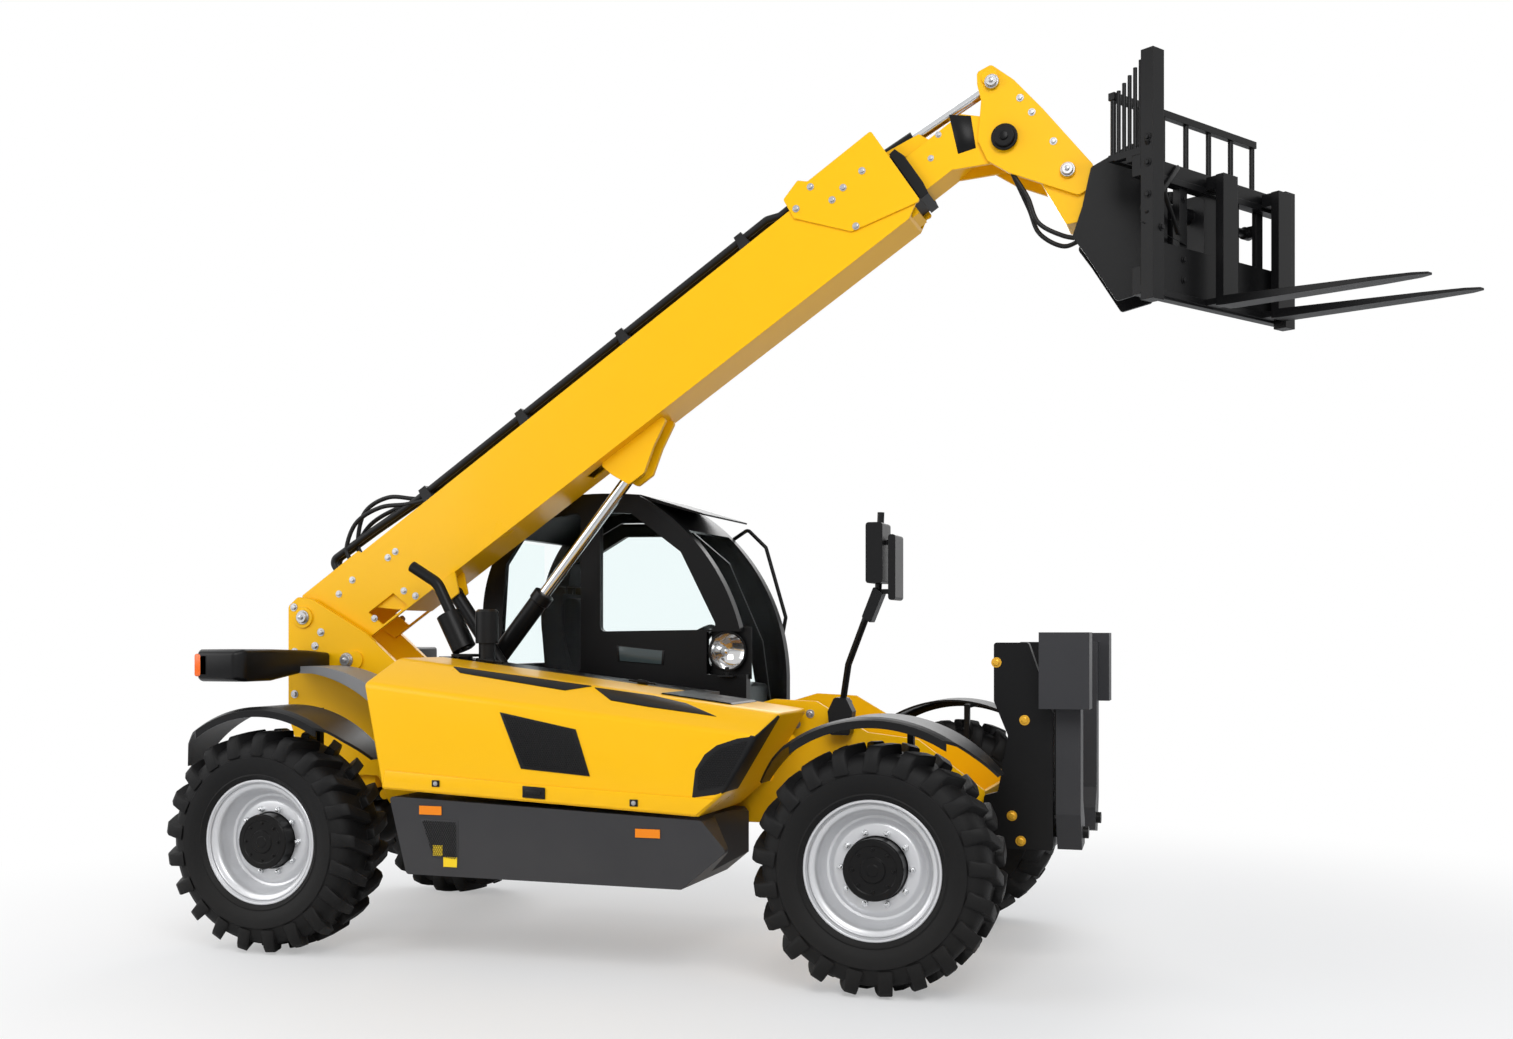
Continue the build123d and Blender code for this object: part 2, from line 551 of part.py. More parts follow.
# ------------------------------------------------------------------ cab
cab_wall = 45
hinge_r, hinge_pin_r = 20, 9
hinge_x, hinge_y = -2612, cab_y_out + hinge_r + joint_gap
hinge_places = (1300, 1680)     # undersides of the door's hinge pins
cab_low = 760
with BuildPart() as cab_shell:
    def cab_profile(plane, inset):
        """The cab's side outline, drawn in by inset."""
        i = inset
        with BuildSketch(plane) as profile:
            with BuildLine():
                Polyline((-1080 - i, 1373), (-1080 - i, cab_low + i), (-2530 + i, cab_low + i),
                         (-2530 + i, 1040), (-2700 + i, 1260), (-2730 + i, 1600))
                ThreePointArc((-2730 + i, 1600), (-2660 + i, 2170 - i * 0.4), (-2380 + i * 0.4, 2470 - i))
                ThreePointArc((-2380 + i * 0.4, 2470 - i), (-2060, 2510 - i), (-1737 - i * 0.2, 2492 - i))
                ThreePointArc((-1737 - i * 0.2, 2492 - i), (-1290 - i * 0.7, 2090 - i * 0.7), (-1080 - i, 1373))
            make_face()
        return profile.sketch

    extrude(cab_profile(side(cab_y_out), 0), amount=cab_y_out - cab_y_in)
    extrude(cab_profile(side(cab_y_out - cab_wall), cab_wall),
            amount=cab_y_out - cab_y_in - 2 * cab_wall, mode=Mode.SUBTRACT)
    # windows of the right wall, rear, front and roof
    window_rear = [(-2640, 1500), (-2600, 2100), (-2420, 2360), (-2110, 2400), (-2110, 1450)]
    window_front = [(-1985, 1700), (-1985, 2400), (-1790, 2390), (-1480, 2160), (-1250, 1710)]
    for window in (window_rear, window_front):
        extrude(outline(side(cab_y_in + cab_wall + 10), window, 30), amount=cab_wall + 20,
                mode=Mode.SUBTRACT)
    door_points = [(-2470, 900), (-2470, 1065), (-2600, 1235), (-2600, 1700), (-2480, 2250), (-2200, 2400), (-1780, 2395),
                   (-1460, 2130), (-1240, 1640), (-1180, 1200), (-1180, 900)]
    extrude(outline(side(cab_y_out + 10), door_points, 30), amount=cab_wall + 20, mode=Mode.SUBTRACT)
    # windscreen, rear window and roof light
    span_y = cab_y_out - cab_y_in - 2 * 75
    mid_y = (cab_y_in + cab_y_out) / 2
    with BuildSketch(Plane.YZ.offset(front_axle_x - 1700)):
        with Locations((mid_y, 1640)):
            Rectangle(span_y, 1300)
    extrude(amount=900, mode=Mode.SUBTRACT)
    with BuildSketch(Plane.YZ.offset(front_axle_x - 2400)):
        with Locations((mid_y, 1880)):
            Rectangle(span_y, 760)
    extrude(amount=-600, mode=Mode.SUBTRACT)
    # corner panel's opening for the work lamp
    extrude(outline(side(cab_y_in + cab_wall + 20), [(-1320, 1452), (-1320, 1698), (-1030, 1698),
                                                     (-1030, 1452)], 8),
            amount=cab_wall + 30, mode=Mode.SUBTRACT)
    # hinge pins of the door, on lugs outside the wall
    for z in hinge_places:
        with BuildSketch(Plane.XY.offset(z)):
            with Locations((front_axle_x + hinge_x, hinge_y)):
                Circle(hinge_pin_r)
        extrude(amount=90)
        with BuildSketch(Plane.XY.offset(z - 30)):
            with Locations((front_axle_x + hinge_x, hinge_y)):
                Circle(hinge_r)
            with Locations((front_axle_x + hinge_x - 20, cab_y_out - 2 + hinge_r / 2)):
                Rectangle(60, hinge_r)
        extrude(amount=30)
    # visor ahead of the roof
    extrude(outline(side(cab_y_out - 40), [(-1900, 2490), (-1900, 2514), (-1745, 2502), (-1349, 2381),
                                           (-1352, 2371), (-1750, 2480)]), amount=cab_y_out - cab_y_in - 80)
    # arms to the rail
    with BuildSketch(side(cab_y_in)):
        with Locations((-2300, 860), (-1400, 860)):
            Rectangle(120, 80)
    extrude(amount=cab_y_in - rail_y - mast_t)
save(cab_shell, "cab_shell")

with BuildPart() as cab_interior:
    floor_x = front_axle_x - 1850
    with BuildSketch(Plane.XY.offset(cab_low + cab_wall + 0.3)):
        with Locations((floor_x - 330, mid_y)):
            Rectangle(500, 460)
    extrude(amount=330)
save(cab_interior, "seat_base")

with BuildPart() as seat:
    with BuildSketch(side(mid_y + 235)):
        with BuildLine():
            Polyline((-2440, 1136), (-1950, 1136), (-1930, 1250), (-2230, 1245), (-2330, 1700),
                     (-2320, 1930), (-2420, 1930), (-2460, 1700), (-2420, 1250), close=True)
        make_face()
    extrude(amount=470)
    # headrest on its two posts
    extrude(outline(side(mid_y + 120), [(-2425, 1975), (-2335, 1975), (-2318, 2130), (-2400, 2140)], 20), amount=240)
    for y in (mid_y - 60, mid_y + 60):
        with BuildSketch(Plane.XY.offset(1900)):
            with Locations((front_axle_x - 2378, y)):
                Circle(8)
        extrude(amount=90)
save(seat, "seat")

with BuildPart() as steering_column:
    with BuildSketch(side(mid_y + 60)):
        with BuildLine():
            Polyline((-1430, cab_low + cab_wall + 0.3), (-1290, cab_low + cab_wall + 0.3), (-1330, 1400),
                     (-1575, 1640), (-1615, 1600), (-1420, 1380), close=True)
        make_face()
    extrude(amount=120)
    # dashboard
    extrude(outline(side(mid_y + 240), [(-1400, 1190), (-1440, 1330), (-1330, 1400), (-1170, 1380), (-1160, 1190)], 18),
            amount=480)
    wheel_plane = Plane((front_axle_x - 1585, mid_y, 1615), z_dir=(-0.64, 0, 0.77))
    with Locations(wheel_plane):
        Torus(180, 14)
        Box(360, 30, 14)
        Box(30, 360, 14)
save(steering_column, "steering_column")

# cab door: frame and glass
door_gap = 6
with BuildPart() as cab_door:
    door_outer = [(-2464, 906), (-2464, 1063), (-2594, 1233), (-2593, 1700), (-2474, 2245), (-2198, 2393), (-1783, 2388),
                  (-1467, 2127), (-1247, 1638), (-1187, 1200), (-1187, 906)]
    extrude(outline(side(cab_y_out), door_outer, 26), amount=cab_wall)
    door_window = [(-2480, 1350), (-2500, 1700), (-2400, 2180), (-2170, 2310), (-1810, 2305),
                   (-1530, 2080), (-1340, 1640), (-1290, 1350)]
    extrude(outline(side(cab_y_out + 10), door_window, 26), amount=cab_wall + 20, mode=Mode.SUBTRACT)
    for z in hinge_places:
        with BuildSketch(Plane.XY.offset(z + joint_gap)):
            with Locations((front_axle_x + hinge_x, hinge_y)):
                Circle(hinge_r)
            with Locations((front_axle_x + hinge_x + 55, hinge_y - 8)):
                Rectangle(110, 12)
            with Locations((front_axle_x + hinge_x + 85, cab_y_out + 6)):
                Rectangle(50, 20)
        extrude(amount=70)
        with BuildSketch(Plane.XY.offset(z)):
            with Locations((front_axle_x + hinge_x, hinge_y)):
                Circle(hinge_pin_r + hinge_slack)
        extrude(amount=80, mode=Mode.SUBTRACT)
save(cab_door, "cab_door")

glass_t = 6
glass_inset = 14            # the windscreen lies below the pillars' faces
with BuildPart() as windscreen:
    extrude(cab_profile(side(mid_y + span_y / 2 - seat_gap), glass_inset), amount=span_y - 2 * seat_gap)
    extrude(cab_profile(side(mid_y + span_y / 2), glass_inset + glass_t), amount=span_y, mode=Mode.SUBTRACT)
    with BuildSketch(side(mid_y + span_y / 2)):
        with Locations((-1350, 1640)):
            Rectangle(700 - 2 * seat_gap, 1300 - 2 * seat_gap)
    extrude(amount=span_y, mode=Mode.INTERSECT)
save(windscreen, "windscreen")

rail_r = 12
with BuildPart() as cab_rail:
    rail_foot, rail_out = cab_y_out + seat_gap, cab_y_out + 40
    with BuildLine() as rail_line:
        FilletPolyline(*[(front_axle_x + x, y, z) for x, y, z in
                         ((-1490, rail_foot, 2270), (-1490, rail_out, 2270), (-1370, rail_out, 2345),
                          (-1250, rail_out, 2230), (-1120, rail_out, 1790), (-1175, rail_out, 1500),
                          (-1175, rail_foot, 1500))], radius=24)
    with BuildSketch(Plane(rail_line.line @ 0, z_dir=rail_line.line % 0)):
        Circle(rail_r)
    sweep()
save(cab_rail, "cab_rail")

with BuildPart() as cab_door_glass:
    extrude(outline(side(cab_y_out - 20), door_window, 26), amount=glass_t)
save(cab_door_glass, "cab_door_glass")

with BuildPart() as cab_glass:
    for window in (window_rear, window_front):
        extrude(outline(side(cab_y_in + 25), window, 30), amount=glass_t)
    with BuildSketch(Plane.YZ.offset(front_axle_x - 2735)):
        with Locations((mid_y, 1880)):
            Rectangle(span_y - 2 * seat_gap, 760 - 2 * seat_gap)
    extrude(amount=glass_t)
save(cab_glass, "cab_glass")

# work lamp beside the cab's front corner, turned to the right
lamp_turn = 50
lamp_r = 115
lamp_x, lamp_y, lamp_z = -1190, 248, 1585
with BuildPart() as headlamp:
    facing = Vector(cos(radians(lamp_turn)), -sin(radians(lamp_turn)), 0)
    lamp_middle = Vector(front_axle_x + lamp_x, lamp_y, lamp_z)
    dish = Plane(lamp_middle, x_dir=(0, 0, 1), z_dir=Vector(0, 0, 1).cross(facing))
    # half section: sketch x is the radius, sketch y runs along the facing direction
    with BuildSketch(dish):
        with BuildLine():
            Polyline((0, -40), (55, -40), (lamp_r - 6, -10), (lamp_r, 4), (lamp_r, 16), (lamp_r - 8, 16),
                     (lamp_r - 12, 8), (70, -22), (0, -28), close=True)
        make_face()
    revolve(axis=Axis(lamp_middle, facing))
    with BuildSketch(Plane.XY.offset(lamp_z - lamp_r - 22)):
        with Locations((front_axle_x + lamp_x, lamp_y)):
            Circle(12)
    extrude(amount=40)
    with BuildSketch(Plane.XY.offset(lamp_z - lamp_r - 34)):
        with Locations((front_axle_x + lamp_x, cab_y_in - 35)):
            Rectangle(90, 70)
    extrude(amount=12)
save(headlamp, "headlamp")

# ------------------------------------------------------------------ mirror post at the right front
mirror_y = -720
with BuildPart() as mirror_post:
    with BuildLine() as post_line:
        FilletPolyline((front_axle_x - 320, -490, 1300), (front_axle_x - 262, -580, 1530),
                       (front_axle_x - 150, -690, 1750), (front_axle_x - 75, mirror_y, 1900),
                       (front_axle_x - 62, mirror_y, 2278), radius=60)
    with BuildSketch(Plane(post_line.line @ 0, z_dir=post_line.line % 0)):
        Circle(17)
    sweep()
    # moulded foot on the front frame
    extrude(outline(side(-front_y - front_t - seat_gap), [(-372, 1170), (-270, 1170), (-255, 1290), (-290, 1360), (-350, 1360),
                                                          (-385, 1290)], 14), amount=80)
    # clamp at the bend, and the two mirrors' housings across the machine
    extrude(outline(side(mirror_y + 40), [(-150, 1765), (-105, 1735), (-45, 1880), (-90, 1915)], 8), amount=80)
    for x, z, w, h, y in ((-76, 2077, 84, 296, mirror_y + 90), (14, 2005, 36, 318, mirror_y + 80)):
        with BuildSketch(side(y)):
            with Locations((x, z)):
                RectangleRounded(w, h, 15)
        extrude(amount=180)
    for z in (1890, 2130):
        with BuildSketch(side(mirror_y + 14)):
            with Locations((-25, z)):
                Rectangle(70, 24)
        extrude(amount=28)
save(mirror_post, "mirror_post")

# ------------------------------------------------------------------ front stabilisers
stab_x0, stab_x1 = 755, 875
stab_pin_y, stab_pin_z = 330, 700
with BuildPart() as stabiliser_frame:
    for sign in (-1, 1):
        start = -400 if sign < 0 else 460
        plate = [(400 + seat_gap, 620), (740, 620), (740, 1290), (620, 1640), (450, 1640), (450, 1350),
                 (520, 1180), (470, 900), (400 + seat_gap, 880)]
        extrude(outline(side(start), plate, 15), amount=60)
    with BuildSketch(side(400)):
        with Locations((520, 760)):
            Rectangle(200, 200)
    extrude(amount=800)
    for sign in (-1, 1):
        with BuildSketch(Plane.YZ.offset(front_axle_x + 740)):
            with Locations((sign * stab_pin_y, stab_pin_z)):
                Circle(30)
        extrude(amount=160)
        with BuildSketch(Plane.YZ.offset(front_axle_x + 720)):
            with Locations((sign * stab_pin_y, stab_pin_z)):
                Rectangle(160, 140)
        extrude(amount=20)
save(stabiliser_frame, "stabiliser_frame")

for side_name, sign in sides:
    with BuildPart() as leg:
        with BuildSketch(Plane.YZ.offset(front_axle_x + stab_x0)):
            with BuildLine():
                Polyline((sign * 270, 640), (sign * 400, 620), (sign * 470, 800), (sign * 470, 1640),
                         (sign * 350, 1640), (sign * 350, 860), (sign * 270, 760), close=True)
            make_face()
        extrude(amount=stab_x1 - stab_x0)
        with BuildSketch(Plane.YZ.offset(front_axle_x + 690)):
            with Locations((sign * 540, 1505)):
                Rectangle(140, 370)
        extrude(amount=240)
        with BuildSketch(Plane.YZ.offset(front_axle_x + stab_x0 - 5)):
            with Locations((sign * stab_pin_y, stab_pin_z)):
                Circle(30 + running_gap)
        extrude(amount=stab_x1 - stab_x0 + 10, mode=Mode.SUBTRACT)
    save(leg, f"stabiliser_leg_{side_name}")

# ------------------------------------------------------------------ boom
outer_front = 4270
collar_s = 3800
clevis_s, clevis_n = 2143, -460
clevis_t, clevis_gap = 25, 110
comp_s, comp_n, comp_y = 866, -420, -110

with BuildPart() as boom_outer:
    extrude(outline(boom(outer_w / 2), [(560, outer_low), (outer_front - 90, outer_low),
                                        (outer_front, -280), (outer_front, outer_high),
                                        (0, outer_high), (230, -60)]), amount=outer_w)
    extrude(outline(boom(outer_w / 2 - boom_wall),
                    [(600, outer_low + boom_wall), (outer_front + 10, outer_low + boom_wall),
                     (outer_front + 10, outer_high - boom_wall), (560, outer_high - boom_wall)]),
            amount=outer_w - 2 * boom_wall, mode=Mode.SUBTRACT)
    # wear pads that the middle section runs on
    pad_in = mid_w / 2 + running_gap
    for y0, y1 in ((outer_w / 2 - boom_wall, pad_in), (-pad_in, -outer_w / 2 + boom_wall)):
        extrude(outline(boom(y0), [(4120, -250), (4240, -250), (4240, -10), (4120, -10)]), amount=y0 - y1)
    extrude(outline(boom(100), [(4120, outer_low + boom_wall), (4240, outer_low + boom_wall),
                                (4240, mid_low - running_gap), (4120, mid_low - running_gap)]), amount=200)
    # rear side plates down to the pivot
    for y in (outer_w / 2, -outer_w / 2 + 16):
        extrude(outline(boom(y), [(-70, -30), (-40, 60), (40, outer_high + 20), (500, outer_high + 20),
                                  (640, -330), (270, -330), (150, -80), (40, -70)]), amount=16)
        extrude(outline(boom(y + 5), [(350, -205), (550, -205), (590, -318), (390, -318)], 6),
                amount=26, mode=Mode.SUBTRACT)
    extrude(disc(boom(outer_w / 2), 0, 0, 70), amount=outer_w)
    # pivot pin through both mast plates
    extrude(disc(boom(rail_y + mast_t + 10), 0, 0, 36), amount=2 * (rail_y + mast_t + 10))
    # front collar, raised over the tilt cylinder
    for y in (outer_w / 2 + 12, -outer_w / 2):
        extrude(outline(boom(y), [(collar_s - 110, 60), (collar_s - 100, 180), (collar_s + 20, 215),
                                  (collar_s + 60, 175), (outer_front + 10, 175), (outer_front + 10, -300),
                                  (collar_s + 100, -200)], 15), amount=12)
    extrude(outline(boom(outer_w / 2), [(collar_s - 90, 104), (collar_s - 90, 172), (outer_front, 172),
                                        (outer_front, 104)]), amount=outer_w)
    extrude(outline(boom(85), [(collar_s - 70, outer_high - 30), (outer_front + 20, outer_high - 30),
                               (outer_front + 20, 160), (collar_s - 70, 160)]), amount=170,
            mode=Mode.SUBTRACT)
    # clevis of the lift cylinder, and the slot above it
    for y in (clevis_gap / 2 + clevis_t, -clevis_gap / 2):
        extrude(outline(boom(y), [(2010, outer_low + 1), (2530, outer_low + 1), (2330, -440),
                                  (2200, -530), (2090, -530), (2040, -430)], 20), amount=clevis_t)
    extrude(outline(boom(clevis_gap / 2), [(1900, outer_low - 5), (2400, outer_low - 5),
                                           (2400, outer_low + 15), (1900, outer_low + 15)]),
            amount=clevis_gap, mode=Mode.SUBTRACT)
    # bracket of the compensation cylinder
    for y in (comp_y + 60, comp_y - 48):
        extrude(outline(boom(y), [(780, outer_low + 1), (960, outer_low + 1), (910, comp_n - 35),
                                  (830, comp_n - 35)], 10), amount=12)
    extrude(disc(boom(comp_y + 60), comp_s, comp_n, 20), amount=120)
save(boom_outer, "boom_outer")

with BuildPart() as boom_mid:
    extrude(outline(boom(mid_w / 2), [(700, mid_low), (4320, mid_low), (4320, mid_high), (700, mid_high)]),
            amount=mid_w)
    extrude(outline(boom(mid_w / 2 - boom_wall),
                    [(690, mid_low + boom_wall), (4330, mid_low + boom_wall),
                     (4330, mid_high - boom_wall), (690, mid_high - boom_wall)]),
            amount=mid_w - 2 * boom_wall, mode=Mode.SUBTRACT)
    # wear pads that the inner section runs on
    pad_in = inner_w / 2 + running_gap
    for y0, y1 in ((mid_w / 2 - boom_wall, pad_in), (-pad_in, -mid_w / 2 + boom_wall)):
        extrude(outline(boom(y0), [(4190, -240), (4300, -240), (4300, -50), (4190, -50)]), amount=y0 - y1)
    extrude(outline(boom(80), [(4190, mid_low + boom_wall), (4300, mid_low + boom_wall),
                               (4300, inner_low - running_gap), (4190, inner_low - running_gap)]), amount=160)
    # slot in the top for the tilt cylinder
    extrude(outline(boom(80), [(3640, mid_high - 20), (4330, mid_high - 20), (4330, mid_high + 10),
                               (3640, mid_high + 10)]), amount=160, mode=Mode.SUBTRACT)
    # wear-plate collar ahead of the outer section
    collar_t = 12
    for y in (mid_w / 2 + collar_t, -mid_w / 2):
        extrude(outline(boom(y), [(outer_front + 16, mid_low - collar_t), (4335, mid_low - collar_t), (4345, -215),
                                  (4345, -40), (4325, mid_high + 10), (outer_front + 16, mid_high + 6)]), amount=collar_t)
    extrude(outline(boom(mid_w / 2), [(outer_front + 16, mid_low - collar_t), (4335, mid_low - collar_t),
                                      (4335, mid_low), (outer_front + 16, mid_low)]), amount=mid_w)
save(boom_mid, "boom_mid")

line_n, line_r = 178, 20
with BuildPart() as boom_lines:
    for y in (-95, -45):
        with BuildLine(boom(y)) as line:
            FilletPolyline((290, outer_high + seat_gap), (290, outer_high + 100), (620, line_n + 22), (950, line_n),
                           (3560, line_n), (3630, outer_high + 34), (collar_s - 90 - seat_gap, outer_high + 34),
                           radius=40)
        with BuildSketch(Plane(line.line @ 0, z_dir=line.line % 0)):
            Circle(line_r)
        sweep()
    for x in (1000, 1750, 2500, 3350):
        extrude(outline(boom(-15), [(x, outer_high + seat_gap), (x + 70, outer_high + seat_gap), (x + 60, line_n + line_r + 8),
                                    (x + 10, line_n + line_r + 8)]), amount=110)
save(boom_lines, "boom_lines")

head_s, head_n = 4812, -310
tilt_s, tilt_n = 4922, 10
tilt_rear_s, tilt_rear_n = 3800, 100
with BuildPart() as boom_inner:
    extrude(outline(boom(inner_w / 2), [(900, inner_low), (4640, inner_low), (4640, inner_high),
                                        (900, inner_high)]), amount=inner_w)
    extrude(outline(boom(inner_w / 2 - boom_wall),
                    [(890, inner_low + boom_wall), (4630, inner_low + boom_wall),
                     (4630, inner_high - boom_wall), (890, inner_high - boom_wall)]),
            amount=inner_w - 2 * boom_wall, mode=Mode.SUBTRACT)
    extrude(outline(boom(65), [(4200, inner_high - 30), (4650, inner_high - 30),
                               (4650, inner_high + 10), (4200, inner_high + 10)]), amount=130,
            mode=Mode.SUBTRACT)
    # head lugs and pivot pin
    for y in (inner_w / 2, -inner_w / 2 + 20):
        extrude(outline(boom(y), [(4500, inner_low), (4500, inner_high), (4700, inner_high),
                                  (4880, -230), (4880, -380), (4740, -390)], 15), amount=20)
    extrude(disc(boom(inner_w / 2 + 45), head_s, head_n, 45), amount=inner_w + 90)
    # cradle that carries the tilt cylinder's rear eye
    for y in (75, -63):
        extrude(outline(boom(y), [(4380, inner_high - 2), (4500, inner_high - 2), (4470, 30), (4300, 60),
                                  (tilt_rear_s + 40, 135), (tilt_rear_s - 35, 135),
                                  (tilt_rear_s - 35, 70), (4260, 26)], 8), amount=12)
    extrude(disc(boom(75), tilt_rear_s, tilt_rear_n, 18), amount=150)
save(boom_inner, "boom_inner")

plate_t = 22
plate_y = inner_w / 2 + joint_gap + plate_t
head_plate = [
    # s, n, round the head's side plate from its top
    (4885, 75), (4965, 60), (5010, -80), (5040, -300), (5075, -700), (5000, -790), (4930, -780),
    (4720, -460), (4670, -340), (4690, -220), (4820, -60), (4850, 20),
]
with BuildPart() as boom_head:
    for y in (plate_y, -plate_y + plate_t):
        extrude(outline(boom(y), head_plate, 25), amount=plate_t)
    extrude(disc(boom(plate_y + 10), head_s, head_n, 45 + running_gap), amount=2 * plate_y + 20,
            mode=Mode.SUBTRACT)
    # box between the plates, and the nose below it
    extrude(outline(boom(plate_y - plate_t), [(4890, -420), (5040, -420), (5075, -700), (4880, -900),
                                              (4800, -860), (4830, -500)], 15),
            amount=2 * (plate_y - plate_t))
    for y in (plate_y + 14, -plate_y):
        extrude(disc(boom(y), 4960, -644, 40), amount=14)
    # short pin stubs of the tilt cylinder, outside the plates
    for y in (plate_y + 14, -plate_y):
        extrude(disc(boom(y), tilt_s, tilt_n, 42), amount=14)
save(boom_head, "boom_head")

# ------------------------------------------------------------------ cylinders
def boom_point(s, n, y=0):
    return tuple(boom(y).from_local_coords((s, n, 0)))


cylinders = [
    # name, eye of the barrel, eye of the rod, barrel radius, length, rod radius, length, eye radius, pin
    # radius, eye width
    ("lift", (front_axle_x + lift_foot_x, 0, lift_foot_z), boom_point(clevis_s, clevis_n),
     55, 1500, 35, 1550, 45, lift_pin_r, 100),
    ("compensation", boom_point(comp_s, comp_n, comp_y), (front_axle_x - 1893, comp_y, 742),
     42, 970, 24, 945, 34, 20, 70),
    ("tilt", boom_point(tilt_rear_s, tilt_rear_n), boom_point(tilt_s, tilt_n),
     46, 640, 26, 800, 36, 18, 90),
]
for name, foot, tip, barrel_r, barrel_len, rod_r, rod_len, eye_r, pin_r, eye_w in cylinders:
    reach = Vector(*tip) - Vector(*foot)
    direction = reach.normalized()
    across_foot = Plane((foot[0], foot[1] + eye_w / 2, foot[2]), x_dir=(1, 0, 0), z_dir=(0, -1, 0))
    across_tip = Plane((tip[0], tip[1] + eye_w / 2, tip[2]), x_dir=(1, 0, 0), z_dir=(0, -1, 0))
    with BuildPart() as barrel:
        with BuildSketch(Plane(Vector(*foot) + direction * (eye_r * 0.7), z_dir=direction)):
            Circle(barrel_r)
        extrude(amount=barrel_len - eye_r * 0.7)
        with BuildSketch(across_foot):
            Circle(eye_r)
        extrude(amount=eye_w)
        with BuildSketch(Plane(Vector(*foot) + direction * (eye_r + 25), z_dir=direction)):
            Circle(rod_r + running_gap)
        extrude(amount=barrel_len, mode=Mode.SUBTRACT)
        with BuildSketch(across_foot):
            Circle(pin_r + running_gap)
        extrude(amount=eye_w, mode=Mode.SUBTRACT)
    save(barrel, f"{name}_barrel")
    with BuildPart() as rod:
        with BuildSketch(Plane(Vector(*tip) - direction * rod_len, z_dir=direction)):
            Circle(rod_r)
        extrude(amount=rod_len - eye_r * 0.5)
        with BuildSketch(across_tip):
            Circle(eye_r)
        extrude(amount=eye_w)
    save(rod, f"{name}_rod")

# ------------------------------------------------------------------ hitch and fork carriage
swing_x = front_axle_x + swing_ahead
hitch_plate = [(800, 3700), (850, 3850), (893, 4045), (1100, 4150), (1150, 4080), (1180, 3900), (1180, 3400),
               (1020, 3360), (870, 3600)]
lug_low, lug_high, lug_t = 3420, 3860, 40
post_r = 35
with BuildPart() as hitch:
    for y in (plate_y + seat_gap + 20, -plate_y - seat_gap):
        extrude(outline(side(y), hitch_plate, 20), amount=20)
    with BuildSketch(side(plate_y + seat_gap)):
        with Locations((1150, 3760)):
            Rectangle(60, 700)
    extrude(amount=2 * (plate_y + seat_gap))
    for z in (lug_low, lug_high):
        with BuildSketch(Plane.XY.offset(z)):
            with Locations((swing_x, 0)):
                Circle(62)
            with Locations((swing_x - 60, 0)):
                Rectangle(120, 124)
        extrude(amount=lug_t)
    with BuildSketch(Plane.XY.offset(lug_low - 10)):
        with Locations((swing_x, 0)):
            Circle(post_r + running_gap)
    extrude(amount=lug_high - lug_low + lug_t + 20, mode=Mode.SUBTRACT)
save(hitch, "hitch")


def carriage(z):
    """Level plane at z, from the swing axis: sketch x ahead along the forks, sketch y to the left."""
    a = radians(swing_angle)
    return Plane((swing_x, 0, z), x_dir=(cos(a), sin(a), 0), z_dir=(0, 0, 1))


frame_half = 600
frame_v = 30
post_w = 85
v_near, v_far = frame_v - frame_half, frame_v + frame_half
with BuildPart() as carriage_frame:
    with BuildSketch(carriage(lug_low - 20)):
        Circle(post_r)
    extrude(amount=lug_high + lug_t + 20 - lug_low + 20)
    for z0, z1, u0, u1, v0, v1 in (
        (lug_low + lug_t + 5, lug_high - 5, -50, 200, -50, 50),      # swing block
        (3260, 4440, 250, 320, v_near, v_near + post_w),             # near post
        (3260, 3960, 250, 320, v_far - post_w, v_far),               # far post
        (3850, 3950, 200, 249, v_near, v_far),                       # upper rail
        (3290, 3420, 200, 249, v_near, v_far),                       # lower rail
        (3420, 3560, 225, 249, v_near + 60, v_far - 60),
        (3420, 3850, 200, 240, -250, -190),
        (3420, 3850, 200, 240, 190, 250),
        (3420, 3850, 200, 240, -50, 50),
        (3850, 3880, 240, 260, v_near, v_far),
        (3300, 3330, 240, 260, v_near, v_far),
    ):
        with BuildSketch(carriage(z0)):
            with Locations(((u0 + u1) / 2, (v0 + v1) / 2)):
                Rectangle(u1 - u0, v1 - v0)
        extrude(amount=z1 - z0)
    # swing cylinder across the frame, as one body with its eyes
    swing_cyl_u, swing_cyl_z = 148, 3760
    for r, v0, v1 in ((38, -360, 250), (20, 250, 450), (32, 430, 480), (44, -380, -330)):
        with BuildSketch(Plane(carriage(swing_cyl_z).from_local_coords((swing_cyl_u, v0, 0)),
                               z_dir=(-sin(radians(swing_angle)), cos(radians(swing_angle)), 0))):
            Circle(r)
        extrude(amount=v1 - v0)
    for v in (-355, 455):
        with BuildSketch(carriage(swing_cyl_z - 30)):
            with Locations(((swing_cyl_u + 205) / 2, v)):
                Rectangle(205 - swing_cyl_u, 34)
        extrude(amount=60)
    for v in (-355, 455):
        with BuildSketch(carriage(3420)):
            with Locations((212, v)):
                Rectangle(24, 60)
        extrude(amount=430)
save(carriage_frame, "carriage_frame")

